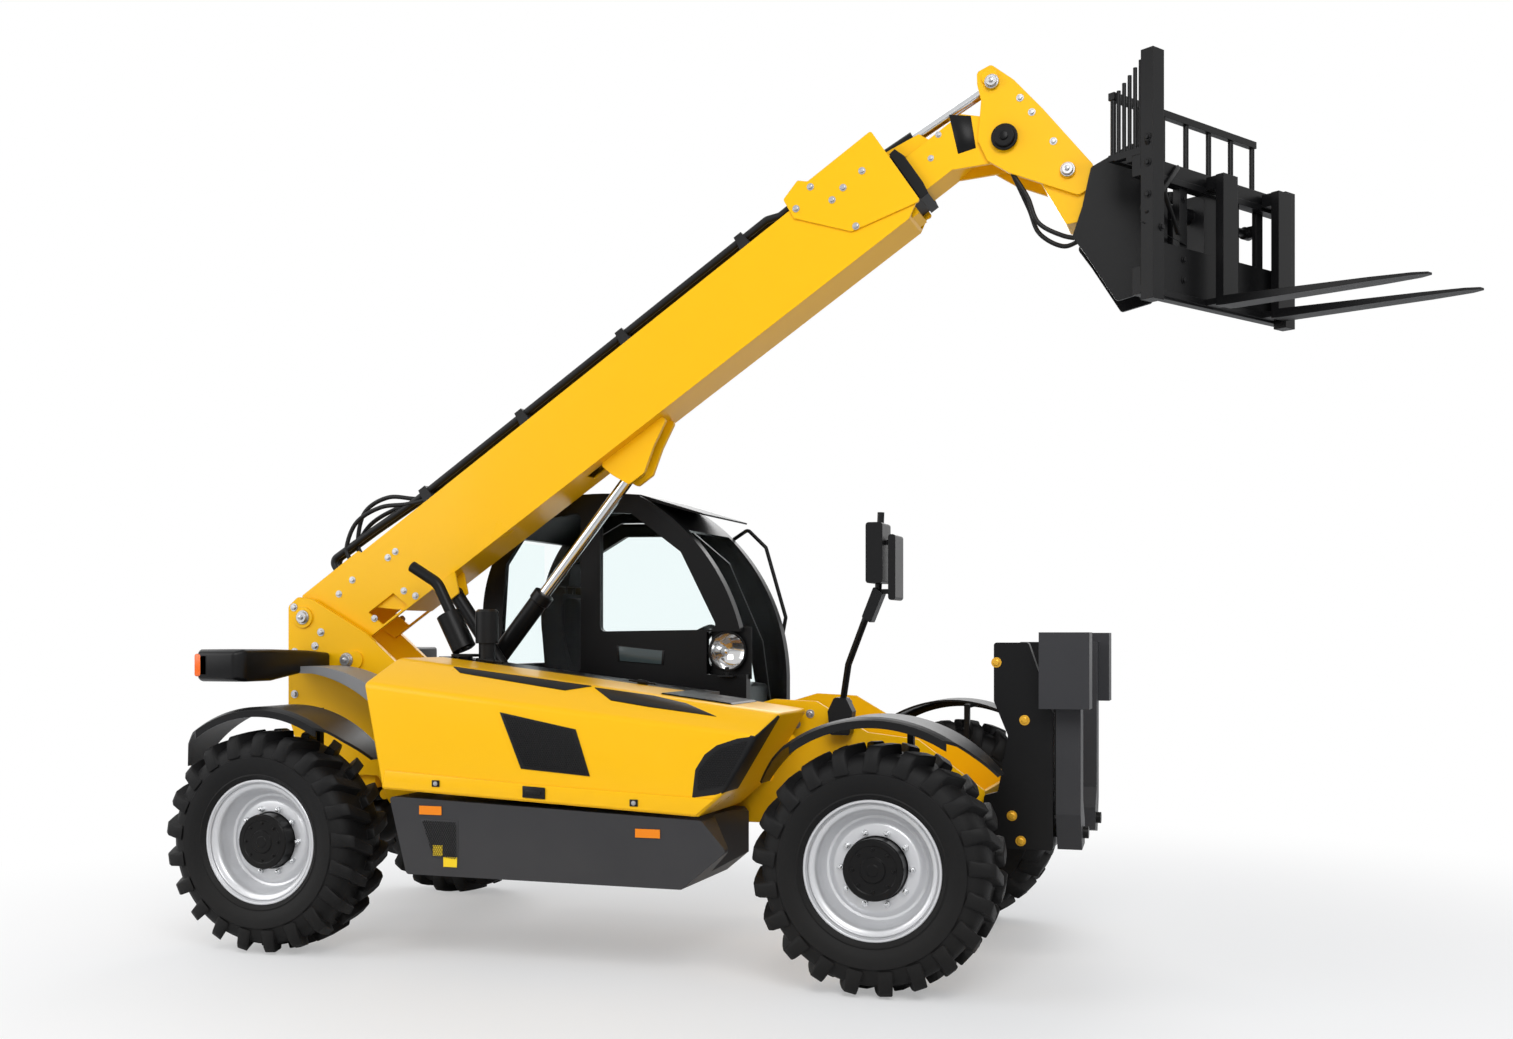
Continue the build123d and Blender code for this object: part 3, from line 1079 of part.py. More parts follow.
bar_r = 14
with BuildPart() as backrest:
    for z0, z1, u0, u1, v0, v1 in (
        (4250, 4285, 60, 95, v_near, v_far),
        (3955, 3985, 60, 95, v_near, v_far),
        (3951, 3985, 95, 249, v_near, v_near + 35),
        (3951, 3985, 95, 249, v_far - 35, v_far),
        (3925, 3956, 165, 199.5, v_near, v_far),
    ):
        with BuildSketch(carriage(z0)):
            with Locations(((u0 + u1) / 2, (v0 + v1) / 2)):
                Rectangle(u1 - u0, v1 - v0)
        extrude(amount=z1 - z0)
    for i in range(7):
        v = v_near + 17 + i * (2 * frame_half - 34) / 6
        with BuildSketch(carriage(3960)):
            with Locations((77, v)):
                Circle(bar_r)
        extrude(amount=320)
    for i in range(6):
        u = 77 + i * 32
        with BuildSketch(carriage(3960)):
            with Locations((u, v_near + 17)):
                Circle(10)
        extrude(amount=300 + i * 28)
save(backrest, "backrest")

with BuildPart() as forks:
    for v in fork_places:
        with BuildSketch(carriage(fork_top - fork_heel)):
            with Locations((fork_root + 22, v)):
                Rectangle(44, fork_w)
        extrude(amount=640)
        blade = Plane(carriage(0).from_local_coords((0, v + fork_w / 2, 0)),
                      x_dir=(cos(radians(swing_angle)), sin(radians(swing_angle)), 0),
                      z_dir=(sin(radians(swing_angle)), -cos(radians(swing_angle)), 0))
        for z0, z1 in ((3865, 3930), (3300, 3330)):
            with BuildSketch(carriage(z0)):
                with Locations(((260 + seat_gap + fork_root) / 2, v)):
                    Rectangle(fork_root - 260 - seat_gap, fork_w - 20)
            extrude(amount=z1 - z0)
        with BuildSketch(blade):
            with BuildLine():
                tip_top = fork_top - fork_drop
                Polyline((fork_root, fork_top - fork_heel), (fork_root + 44, fork_top - fork_heel - 3),
                         (fork_root + fork_len, tip_top - fork_tip_t), (fork_root + fork_len, tip_top),
                         (fork_root, fork_top), close=True)
            make_face()
        extrude(amount=fork_w)
        # the tip narrows
        with BuildSketch(carriage(fork_top - 200)):
            for up in (-1, 1):
                with BuildLine():
                    Polyline((fork_root + fork_len - 260, v + up * fork_w / 2),
                             (fork_root + fork_len - 60, v + up * (fork_w / 2 - 16)),
                             (fork_root + fork_len, v + up * 18),
                             (fork_root + fork_len + 5, v + up * fork_w), close=True)
                make_face()
        extrude(amount=300, mode=Mode.SUBTRACT)
save(forks, "forks")
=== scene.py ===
# %% [markdown]
# # A telehandler, dressed over its CAD model
# The CAD model is loaded first, as a fixed frame, and everything else in this lesson rides on its
# bodies.  The frame is in metres: +X is forward, +Y is the machine's left and Z = 0 is the ground.
# The main sizes are read from the frame, and small parts are seated by rays that look for the
# surface under them, so that most pieces still fit when the model changes a little.

# %% Load the frame
import math

import bpy
import bmesh
from mathutils import Vector, Matrix
from mathutils.bvhtree import BVHTree


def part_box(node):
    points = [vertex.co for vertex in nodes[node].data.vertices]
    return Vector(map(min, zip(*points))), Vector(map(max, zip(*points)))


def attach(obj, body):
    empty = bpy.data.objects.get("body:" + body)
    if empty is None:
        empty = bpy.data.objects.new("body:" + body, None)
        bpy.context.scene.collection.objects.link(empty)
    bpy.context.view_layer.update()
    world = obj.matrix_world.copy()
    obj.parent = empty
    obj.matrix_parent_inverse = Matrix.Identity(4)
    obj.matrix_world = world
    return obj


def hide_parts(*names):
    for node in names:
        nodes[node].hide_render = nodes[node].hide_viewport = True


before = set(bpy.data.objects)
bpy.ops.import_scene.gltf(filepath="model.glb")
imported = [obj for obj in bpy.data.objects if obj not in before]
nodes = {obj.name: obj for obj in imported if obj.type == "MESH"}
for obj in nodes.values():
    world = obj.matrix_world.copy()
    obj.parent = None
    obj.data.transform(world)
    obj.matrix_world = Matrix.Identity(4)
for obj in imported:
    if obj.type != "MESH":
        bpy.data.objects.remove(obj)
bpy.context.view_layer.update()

# %% [markdown]
# ## The camera
# The machine is seen from its right, a little from the front, from a standing person's height.
# The camera could be tilted to bring the raised boom in, but then upright edges would lean.  So it
# stays level, and a small vertical shift of the lens moves the picture instead.

# %% Camera
def middle(node):
    """The middle of a CAD node's box."""
    low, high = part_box(node)
    return (Vector(low) + Vector(high)) / 2


def new_object(name, data):
    """An object in the scene for a mesh, a lamp or a camera."""
    obj = bpy.data.objects.new(name, data)
    bpy.context.scene.collection.objects.link(obj)
    return obj


axle_x = middle("front_axle").x
camera_place = (axle_x + 1.67, -8.14, 1.67)
camera_yaw = 17.73              # degrees from +Y towards -X
lens_mm, sensor_mm = 36.88, 36
camera_shift = (0.0, 0.0773)

camera_data = bpy.data.cameras.new("camera")
camera_data.sensor_width = sensor_mm
camera_data.lens = lens_mm
camera_data.shift_x, camera_data.shift_y = camera_shift
camera = new_object("camera", camera_data)
camera.location = camera_place
camera.rotation_euler = (math.radians(90), 0, math.radians(camera_yaw))
bpy.context.scene.camera = camera
bpy.context.scene.view_settings.view_transform = "Standard"
print("camera", [round(c, 2) for c in camera_place], "lens", lens_mm, "mm")

# %% [markdown]
# ## Lamps
# The machine stands in a white studio.  Small lamps or a sun would draw hard shadows and pinpoint
# glints, so three big square lamps are used: a key from the front right, a fill from behind on the
# same side, and one from the far side that lights the tops and the edges.

# %% Lamps
def soft_lamp(name, place, target, size, power):
    """A square area lamp at place that faces target."""
    data = bpy.data.lights.new(name, "AREA")
    data.shape = "SQUARE"
    data.size = size
    data.energy = power
    lamp = new_object(name, data)
    lamp.location = place
    lamp.rotation_euler = (Vector(target) - Vector(place)).to_track_quat("-Z", "Y").to_euler()
    return lamp


aim = (0.2, 0.0, 1.6)
soft_lamp("lamp_key", (3.5, -9.0, 8.0), aim, 6.0, 700)
soft_lamp("lamp_fill", (-8.0, -6.0, 5.0), aim, 6.0, 280)
soft_lamp("lamp_back", (-2.0, 9.0, 8.0), aim, 7.0, 420)
print("lamps: key, fill and back")

# %% [markdown]
# ## Backdrop
# One bright world for all rays would wash the paint out.  So the world is white only for the rays
# that the eye sees it by, straight on, through glass or in a mirror, and pale for the rays that
# light the machine.  Four small helpers wire this tree and the later ones: they set or link a node's
# inputs, add a node, add a Math node, and make a mask of rays.

# %% Backdrop
def wire(tree, node, feeds):
    """Sets or links a node's inputs; feeds maps each one's name or number to a value or a socket."""
    for key, feed in feeds.items():
        if isinstance(feed, bpy.types.NodeSocket):
            tree.links.new(feed, node.inputs[key])
        else:
            node.inputs[key].default_value = feed
    return node


def add_node(tree, kind, feeds=None, **settings):
    """A new node of a tree with its settings and its inputs."""
    node = tree.nodes.new(kind)
    for key, value in settings.items():
        setattr(node, key, value)
    return wire(tree, node, feeds or {})


def calc(tree, operation, *feeds):
    """The output of a Math node with its inputs in order."""
    return add_node(tree, "ShaderNodeMath", dict(enumerate(feeds)), operation=operation).outputs[0]


def ray_mask(tree, *kinds):
    """A mask that is 1 for rays of the named kinds."""
    paths = add_node(tree, "ShaderNodeLightPath")
    mask = paths.outputs[f"Is {kinds[0]} Ray"]
    for kind in kinds[1:]:
        mask = calc(tree, "MAXIMUM", mask, paths.outputs[f"Is {kind} Ray"])
    return mask


world = bpy.data.worlds.new("studio")
world.use_nodes = True
bpy.context.scene.world = world
sky = world.node_tree
pale = wire(sky, sky.nodes["Background"], {"Color": (0.92, 0.95, 1.0, 1), "Strength": 0.42})
white = add_node(sky, "ShaderNodeBackground", {"Color": (1, 1, 1, 1), "Strength": 1.0})
choose = add_node(sky, "ShaderNodeMixShader", {0: ray_mask(sky, "Camera", "Transmission", "Glossy"),
                                               1: pale.outputs[0], 2: white.outputs[0]})
wire(sky, sky.nodes["World Output"], {"Surface": choose.outputs[0]})
print("backdrop ready")

# %% [markdown]
# ## Floor
# A studio's floor rises behind the object in one curve.  A bent sheet would have to clear the
# machine on every side, so a flat floor is used that fades into the white of the backdrop with the
# distance from the middle.  Near the wheels it stays a real surface and catches their shadow.

# %% Floor
def two_tone(tree, noise_feeds, first, second):
    """A colour that drifts between two tones by a broad noise."""
    noise = add_node(tree, "ShaderNodeTexNoise", noise_feeds)
    ramp = add_node(tree, "ShaderNodeValToRGB", {"Fac": noise.outputs["Fac"]})
    ramp.color_ramp.elements[0].color = (*first, 1)
    ramp.color_ramp.elements[1].color = (*second, 1)
    return ramp.outputs["Color"]


half_floor, floor_z = 60.0, -0.002
fade_from, fade_to = 2.2, 6.5       # metres from the middle

floor_mesh = bpy.data.meshes.new("floor")
floor_mesh.from_pydata([(x * half_floor, y * half_floor, floor_z) for x, y in
                        ((-1, -1), (1, -1), (1, 1), (-1, 1))], [], [(0, 1, 2, 3)])
floor = new_object("floor", floor_mesh)
floor_look = bpy.data.materials.new("floor_pale")
floor_look.use_nodes = True
ground = floor_look.node_tree
matt = wire(ground, ground.nodes["Principled BSDF"], {
    "Base Color": two_tone(ground, {"Scale": 0.6}, (0.86, 0.86, 0.86), (0.9, 0.9, 0.9)),
    "Roughness": 0.6})
floor_place = add_node(ground, "ShaderNodeTexCoord").outputs["Object"]
from_middle = add_node(ground, "ShaderNodeVectorMath", {0: floor_place}, operation="LENGTH")
fade = add_node(ground, "ShaderNodeMapRange", {
    "Value": from_middle.outputs["Value"], "From Min": fade_from, "From Max": fade_to,
    "To Min": 0.35, "To Max": 1.0}, interpolation_type="SMOOTHSTEP")
share = calc(ground, "MULTIPLY", fade.outputs[0], ray_mask(ground, "Camera", "Transmission"))
glow = add_node(ground, "ShaderNodeEmission")
floor_mix = add_node(ground, "ShaderNodeMixShader", {0: share, 1: matt.outputs[0], 2: glow.outputs[0]})
wire(ground, ground.nodes["Material Output"], {"Surface": floor_mix.outputs[0]})
floor_mesh.materials.append(floor_look)
print("floor", 2 * half_floor, "m wide, fades from", fade_from, "to", fade_to, "m")

# %% [markdown]
# ## Weathering that the finishes share
# Paint, plastic and rubber all vary a little from place to place and gather dust low down.  Each
# material could carry its own copy of the nodes for that, but one group is easier to correct, and
# every finish then shows it at its own strength.  It reads object coordinates, so the pattern
# stays on a piece that moves.

# %% Weathering
def new_group(name, wanted_in, wanted_out):
    """A shader node group with its sockets; returns the group and its in and out nodes."""
    group = bpy.data.node_groups.new(name, "ShaderNodeTree")
    for label, kind, value in wanted_in:
        group.interface.new_socket(label, in_out="INPUT", socket_type=kind).default_value = value
    for label, kind in wanted_out:
        group.interface.new_socket(label, in_out="OUTPUT", socket_type=kind)
    return group, group.nodes.new("NodeGroupInput"), group.nodes.new("NodeGroupOutput")


def build_weathering():
    """Colour with soft blotches and low dust, a roughness value, and a height for fine grain."""
    group, start, end = new_group(
        "weathering",
        [("Color", "NodeSocketColor", (0.5, 0.5, 0.5, 1)),
         ("Dust Color", "NodeSocketColor", (0.3, 0.27, 0.22, 1)),
         ("Blotch", "NodeSocketFloat", 0.06), ("Dust", "NodeSocketFloat", 0.1),
         ("Roughness", "NodeSocketFloat", 0.4), ("Grain Scale", "NodeSocketFloat", 900.0)],
        [("Color", "NodeSocketColor"), ("Roughness", "NodeSocketFloat"), ("Height", "NodeSocketFloat")])
    given = start.outputs
    where = add_node(group, "ShaderNodeTexCoord").outputs["Object"]
    broad = add_node(group, "ShaderNodeTexNoise", {"Vector": where, "Scale": 2.6, "Detail": 6}).outputs["Fac"]
    fine = add_node(group, "ShaderNodeTexNoise",
                    {"Vector": where, "Scale": given["Grain Scale"], "Detail": 2}).outputs["Fac"]
    # blotches darken and lighten the colour a little
    centred = calc(group, "SUBTRACT", broad, 0.5)
    swing = calc(group, "MULTIPLY_ADD", centred, given["Blotch"], 1.0)
    shade = add_node(group, "ShaderNodeVectorMath", {0: given["Color"], "Scale": swing}, operation="SCALE")
    # dust lies where the surface is low
    height = add_node(group, "ShaderNodeSeparateXYZ", {0: where}).outputs["Z"]
    low = add_node(group, "ShaderNodeMapRange", {
        "Value": height, "From Min": dust_ends, "From Max": dust_full, "To Min": 0.0, "To Max": 1.0})
    cover = calc(group, "MULTIPLY", calc(group, "MULTIPLY", low.outputs[0], broad), given["Dust"])
    blend = add_node(group, "ShaderNodeMix", {
        "Factor": cover, "A": shade.outputs[0], "B": given["Dust Color"]}, data_type="RGBA")
    wire(group, end, {"Color": blend.outputs["Result"], "Height": fine,
                      "Roughness": calc(group, "MULTIPLY_ADD", centred, rough_swing, given["Roughness"])})
    return group


dust_ends, dust_full = 1.3, 0.1     # heights in metres
rough_swing = 0.12
weathering = build_weathering()
print("weathering has", len(weathering.nodes), "nodes")

# %% [markdown]
# ## One recipe for every finish
# A finish is a colour, a roughness and a fine grain, with the shared weathering over them.  Real
# sheet and cast edges are never razor sharp.  They could all be bevelled in the mesh, which would
# multiply the triangles, so a Bevel node rounds them in the shading alone.

# %% Finish recipe
def finish(name, color, roughness, blotch, dust, grain, bump, metallic=0.0, coat=0.0,
           depth=0.0004, specular=0.5, edge=0.004):
    """A material over the weathering group; color is linear, depth and edge are in metres."""
    look = bpy.data.materials.new(name)
    look.use_nodes = True
    tree = look.node_tree
    wear = add_node(tree, "ShaderNodeGroup", {
        "Color": (*color, 1), "Blotch": blotch, "Dust": dust, "Roughness": roughness,
        "Grain Scale": grain}, node_tree=weathering, name="wear")
    soft_edge = add_node(tree, "ShaderNodeBevel", {"Radius": edge}, samples=4)
    raised = add_node(tree, "ShaderNodeBump", {
        "Height": wear.outputs["Height"], "Normal": soft_edge.outputs[0], "Strength": bump,
        "Distance": depth}, name="grain")
    wire(tree, tree.nodes["Principled BSDF"], {
        "Base Color": wear.outputs["Color"], "Roughness": wear.outputs["Roughness"],
        "Normal": raised.outputs[0], "Metallic": metallic, "Coat Weight": coat,
        "Coat Roughness": 0.1, "Specular IOR Level": specular})
    return look


print("finish recipe ready")

# %% [markdown]
# ## The finishes
# The machine is yellow and black.  The frame parts are sprayed gloss, the fenders and trims are
# moulded plastic with a fine grain, and the tyres are a duller, rougher black.  Blacks are kept a
# little above zero, because a pure black would show no form at all.

# %% Finishes
# after the name: colour, roughness, blotch, dust, grain scale, bump
paint_yellow = finish("paint_yellow", (0.93, 0.5, 0.0035), 0.3, 0.04, 0.03, 240.0, 0.08,
                      coat=0.12, specular=0.16, edge=0.006)
paint_black = finish("paint_black", (0.0042, 0.0042, 0.0046), 0.36, 0.3, 0.04, 500.0, 0.15, specular=0.16)
paint_grey = finish("paint_grey", (0.034, 0.034, 0.037), 0.42, 0.15, 0.08, 500.0, 0.2, specular=0.2)
paint_guard = finish("paint_guard", (0.26, 0.265, 0.275), 0.4, 0.12, 0.05, 500.0, 0.2, specular=0.3)
rim_silver = finish("rim_silver", (0.62, 0.625, 0.64), 0.33, 0.08, 0.05, 700.0, 0.15, metallic=0.45)
rod_chrome = finish("rod_chrome", (0.6, 0.61, 0.62), 0.14, 0.05, 0.0, 60.0, 0.05, metallic=1.0)
plastic_black = finish("plastic_black", (0.0045, 0.0045, 0.005), 0.34, 0.3, 0.05, 1600.0, 0.25, specular=0.2)
mesh_black = finish("mesh_black", (0.012, 0.012, 0.013), 0.5, 0.2, 0.05, 900.0, 0.2, specular=0.15)
hub_black = finish("hub_black", (0.0032, 0.0032, 0.0036), 0.3, 0.3, 0.03, 900.0, 0.15, specular=0.15)
tyre_rubber = finish("tyre_rubber", (0.0048, 0.0048, 0.0052), 0.55, 0.35, 0.03, 700.0, 0.5,
                     depth=0.0008, specular=0.16)
hose_rubber = finish("hose_rubber", (0.005, 0.005, 0.0055), 0.45, 0.3, 0.03, 1200.0, 0.3, specular=0.25)
lamp_body = finish("lamp_body", (0.6, 0.6, 0.6), 0.12, 0.05, 0.0, 200.0, 0.05, metallic=0.9)
bolt_steel = finish("bolt_steel", (0.42, 0.42, 0.43), 0.3, 0.2, 0.0, 300.0, 0.1, metallic=0.8, edge=0.002)
bolt_brass = finish("bolt_brass", (0.78, 0.42, 0.03), 0.3, 0.15, 0.0, 300.0, 0.1, metallic=0.5, edge=0.002)
lamp_orange = finish("lamp_orange", (0.9, 0.14, 0.008), 0.22, 0.1, 0.0, 120.0, 0.1)
lamp_red = finish("lamp_red", (0.5, 0.012, 0.01), 0.22, 0.1, 0.0, 120.0, 0.1)
plate_orange = finish("plate_orange", (0.86, 0.24, 0.01), 0.4, 0.06, 0.02, 300.0, 0.05, specular=0.2)
plate_yellow = finish("plate_yellow", (0.9, 0.62, 0.02), 0.4, 0.06, 0.02, 300.0, 0.05, specular=0.2)
pane_grey = finish("pane_grey", (0.045, 0.062, 0.065), 0.12, 0.1, 0.0, 60.0, 0.02, specular=0.5)
seat_cloth = finish("seat_cloth", (0.012, 0.012, 0.013), 0.85, 0.2, 0.0, 2200.0, 0.6, specular=0.2)
made = [look.name for look in bpy.data.materials if look.use_nodes and "wear" in look.node_tree.nodes]
print("finishes:", len(made))

# %% [markdown]
# ## The cab's glass
# A cab's panes are flat, clear and faintly green.  True glass bends rays at both faces of a thin
# pane, which darkens the cab behind it, so the bending is turned off and only the tint is kept.

# %% Glass
glass = bpy.data.materials.new("cab_glass")
glass.use_nodes = True
pane_tree = glass.node_tree
pane_place = add_node(pane_tree, "ShaderNodeTexCoord").outputs["Object"]
tint = two_tone(pane_tree, {"Scale": 1.5, "Vector": pane_place}, (0.92, 0.975, 0.975), (0.94, 0.985, 0.985))
wire(pane_tree, pane_tree.nodes["Principled BSDF"], {
    "Base Color": tint, "Roughness": 0.02, "Metallic": 0.0, "Transmission Weight": 1.0, "IOR": 1.0})
print("glass ready")

# %% [markdown]
# ## Finishes on the CAD nodes
# A CAD node whose shape is right only needs its own finish.  Each could be named one by one, but
# many nodes share a kind, so the table holds the special ones and the start or the end of a name
# decides for the rest.

# %% Assign finishes
own_finish = {
    "mast_plates": paint_yellow, "front_frame": paint_yellow, "boom_outer": paint_yellow,
    "boom_inner": paint_yellow, "boom_head": paint_yellow, "hood_shell": paint_yellow,
    "boom_mid": paint_black, "side_tank": paint_grey, "rear_guards": paint_guard,
    "stabiliser_leg_left": paint_grey, "stabiliser_leg_right": paint_grey,
    "cab_glass": glass, "cab_door_glass": glass, "windscreen": glass, "headlamp": lamp_body,
    "seat": seat_cloth, "boom_lines": hose_rubber,
}
moulded = ("fender", "hood_vents", "hood_panels", "air_intake", "steering", "mirror", "rear_lights")


def kind_finish(name):
    """The finish of a node that the table doesn't name."""
    if name.startswith("tyre"):
        return tyre_rubber
    if name.startswith("rim"):
        return rim_silver
    if name.endswith("_rod"):
        return rod_chrome
    return plastic_black if name.startswith(moulded) else paint_black


for name, node in nodes.items():
    node.data.materials.clear()
    node.data.materials.append(own_finish.get(name) or kind_finish(name))
print("finished", len(nodes), "nodes,", len(own_finish), "of them by name")

# %% [markdown]
# ## Mesh pieces
# Every piece of this lesson is a plain mesh made from corners and faces.  The faces could be
# listed with care, so that each points outwards, but one wrong order shows as a black patch.  So
# the normals are worked out again for every piece, and its smooth parts are shaded smooth.

# %% Mesh pieces
edge_angle = 35                 # degrees; a bend sharper than this stays a crisp edge


def crisp(mesh, degrees=edge_angle):
    """Smooth shading that stays sharp over edges that bend more than the angle."""
    mesh.shade_smooth()
    mesh.set_sharp_from_angle(angle=math.radians(degrees))


def mesh_piece(name, verts, faces, looks, slots=None, smooth=False):
    """A new object with its place in its mesh; slots gives each face's material number."""
    mesh = bpy.data.meshes.new(name)
    mesh.from_pydata([tuple(v) for v in verts], [], faces)
    for look in looks:
        mesh.materials.append(look)
    if slots:
        mesh.polygons.foreach_set("material_index", slots)
    mesh.validate()
    work = bmesh.new()
    work.from_mesh(mesh)
    bmesh.ops.recalc_face_normals(work, faces=work.faces)
    work.to_mesh(mesh)
    work.free()
    if smooth:
        crisp(mesh)
    return new_object(name, mesh)


def join(parts):
    """One list of verts and faces from several."""
    verts, faces = [], []
    for more_verts, more_faces in parts:
        start = len(verts)
        verts += more_verts
        faces += [tuple(start + i for i in face) for face in more_faces]
    return verts, faces


print("mesh pieces ready")

# %% [markdown]
# ## Forms from a few corners
# Turned, extruded and swept parts are most of a machine.  Blender's own tools could make each by
# hand, but a script that lists a few corners is shorter and can be read again.  These helpers give
# the corners and faces of such forms, and leave it to the mesh piece to make the object.

# %% Form helpers
unmoved = Matrix.Identity(4)


def turned(outline, steps, place=unmoved):
    """Verts and faces of an open outline of (radius, height) pairs spun round local Z."""
    verts, faces = [], []
    count = len(outline)
    for k in range(steps):
        turn = math.tau * k / steps
        verts += [place @ Vector((r * math.cos(turn), r * math.sin(turn), h)) for r, h in outline]
        a, b = k * count, (k + 1) % steps * count
        faces += [(a + i, a + i + 1, b + i + 1, b + i) for i in range(count - 1)]
    return verts, faces


def prism(points, low, high, place=unmoved):
    """Verts and faces of an outline of (x, y) pairs between two heights of a placed local frame."""
    count = len(points)
    verts = [place @ Vector((x, y, h)) for h in (low, high) for x, y in points]
    faces = [tuple(range(count)), tuple(range(2 * count - 1, count - 1, -1))]
    faces += [(i, i + count, (i + 1) % count + count, (i + 1) % count) for i in range(count)]
    return verts, faces


def swept(rings):
    """Verts and faces of a skin over rings of equally many points, closed at both ends."""
    count, last = len(rings[0]), len(rings) - 1
    faces = [tuple(range(count))[::-1], tuple(count * last + i for i in range(count))]
    for a in range(0, last * count, count):
        b = a + count
        faces += [(a + i, a + (i + 1) % count, b + (i + 1) % count, b + i) for i in range(count)]
    return [point for points in rings for point in points], faces


def circle(radius, count):
    """Points evenly round a circle."""
    turns = [math.tau * k / count for k in range(count)]
    return [(radius * math.cos(turn), radius * math.sin(turn)) for turn in turns]


def box_outline(x0, y0, x1, y1):
    """The four corners of an upright box seen flat."""
    return [(x0, y0), (x1, y0), (x1, y1), (x0, y1)]


print("form helpers ready")

# %% [markdown]
# ## Rounding
# A rounded edge is what separates a moulded cover from a block.  The bevel could stay live, but
# later steps need the finished mesh, so each modifier is turned into plain faces at once.

# %% Rounding
def apply_modifiers(obj):
    """Turns an object's evaluated shape into its own plain mesh."""
    seen_now = bpy.context.evaluated_depsgraph_get()
    mesh = bpy.data.meshes.new_from_object(obj.evaluated_get(seen_now))
    obj.modifiers.clear()
    obj.data = mesh


def add_bevel(obj, width, segments, degrees):
    """A bevel over every edge that bends more than the angle."""
    bevel = obj.modifiers.new("rounded", "BEVEL")
    bevel.width, bevel.segments = width, segments
    bevel.limit_method, bevel.angle_limit = "ANGLE", math.radians(degrees)


bevel_angle = 38                # degrees; the small faces of a bevel are shaded as one round


def rounded(obj, width, segments=2, degrees=30):
    """Rounds the edges of a piece in its mesh."""
    add_bevel(obj, width, segments, degrees)
    apply_modifiers(obj)
    crisp(obj.data, bevel_angle)
    return obj


print("rounding ready")

# %% [markdown]
# ## Joining
# Small parts that never move apart are joined into one piece.  Blender can join objects, but that
# depends on what is selected, so the faces are gathered here one object after another, and each
# keeps its own material.

# %% Joining
def drop(*objects):
    """Removes pattern shapes once their copies are made."""
    for obj in objects:
        bpy.data.objects.remove(obj)


def merged(objects, name):
    """Joins objects into one mesh object, each face with its own material."""
    work = bmesh.new()
    looks = []
    for obj in objects:
        first = len(work.faces)
        work.from_mesh(obj.data)
        work.faces.ensure_lookup_table()
        looks += [look for look in obj.data.materials if look not in looks]
        numbers = [looks.index(look) for look in obj.data.materials]
        for face in work.faces[first:]:
            face.material_index = numbers[min(face.material_index, len(numbers) - 1)]
    mesh = bpy.data.meshes.new(name)
    work.to_mesh(mesh)
    work.free()
    for look in looks:
        mesh.materials.append(look)
    drop(*objects)
    mesh.set_sharp_from_angle(angle=math.radians(edge_angle))
    return new_object(name, mesh)


print("joining ready")

# %% [markdown]
# ## A node group for what repeats
# Lugs, nuts and bolts repeat.  Linked copies would be quick, but the export keeps plain meshes
# only.  So a Geometry Nodes group puts a shape on every point, turns each copy on by the same
# angle and its own z to the point's aim, and makes the copies real.

# %% Repeats
def build_repeats():
    """A node group that sets a shape out on given points, turned the same way round at each."""
    group = bpy.data.node_groups.new("set_out", "GeometryNodeTree")
    group.is_modifier = True
    for label, kind in (("Geometry", "NodeSocketGeometry"), ("Shape", "NodeSocketObject"),
                        ("Turn", "NodeSocketFloat"), ("Look", "NodeSocketMaterial")):
        group.interface.new_socket(label, in_out="INPUT", socket_type=kind)
    group.interface.new_socket("Geometry", in_out="OUTPUT", socket_type="NodeSocketGeometry")
    given, end = add_node(group, "NodeGroupInput").outputs, add_node(group, "NodeGroupOutput")
    shape = add_node(group, "GeometryNodeObjectInfo", {"As Instance": True, "Object": given["Shape"]})
    number = add_node(group, "GeometryNodeInputIndex").outputs[0]
    spin = add_node(group, "ShaderNodeCombineXYZ", {"Z": calc(group, "MULTIPLY", number, given["Turn"])})
    to_turn = add_node(group, "FunctionNodeEulerToRotation", {0: spin.outputs[0]})
    aim_at = add_node(group, "GeometryNodeInputNamedAttribute", {"Name": "aim"}, data_type="FLOAT_VECTOR")
    stand = add_node(group, "FunctionNodeAlignRotationToVector", {
        "Rotation": to_turn.outputs[0], "Vector": aim_at.outputs["Attribute"]}, axis="Z")
    place = add_node(group, "GeometryNodeInstanceOnPoints", {
        "Points": given["Geometry"], "Instance": shape.outputs["Geometry"], "Rotation": stand.outputs[0]})
    real = add_node(group, "GeometryNodeRealizeInstances", {0: place.outputs[0]})
    paint = add_node(group, "GeometryNodeSetMaterial", {
        "Geometry": real.outputs[0], "Material": given["Look"]})
    wire(group, end, {0: paint.outputs[0]})
    return group


set_out_group = build_repeats()
print("set_out has", len(set_out_group.nodes), "nodes")

# %% [markdown]
# ## Setting a shape out
# The group is used through a modifier on a mesh that holds only the points.  A modifier's inputs
# go by identifiers rather than names, so these are looked up once, and each input is filled before
# the mesh is first evaluated.

# %% Set out
set_out_sockets = {item.name: item.identifier for item in set_out_group.interface.items_tree
                   if item.in_out == "INPUT"}


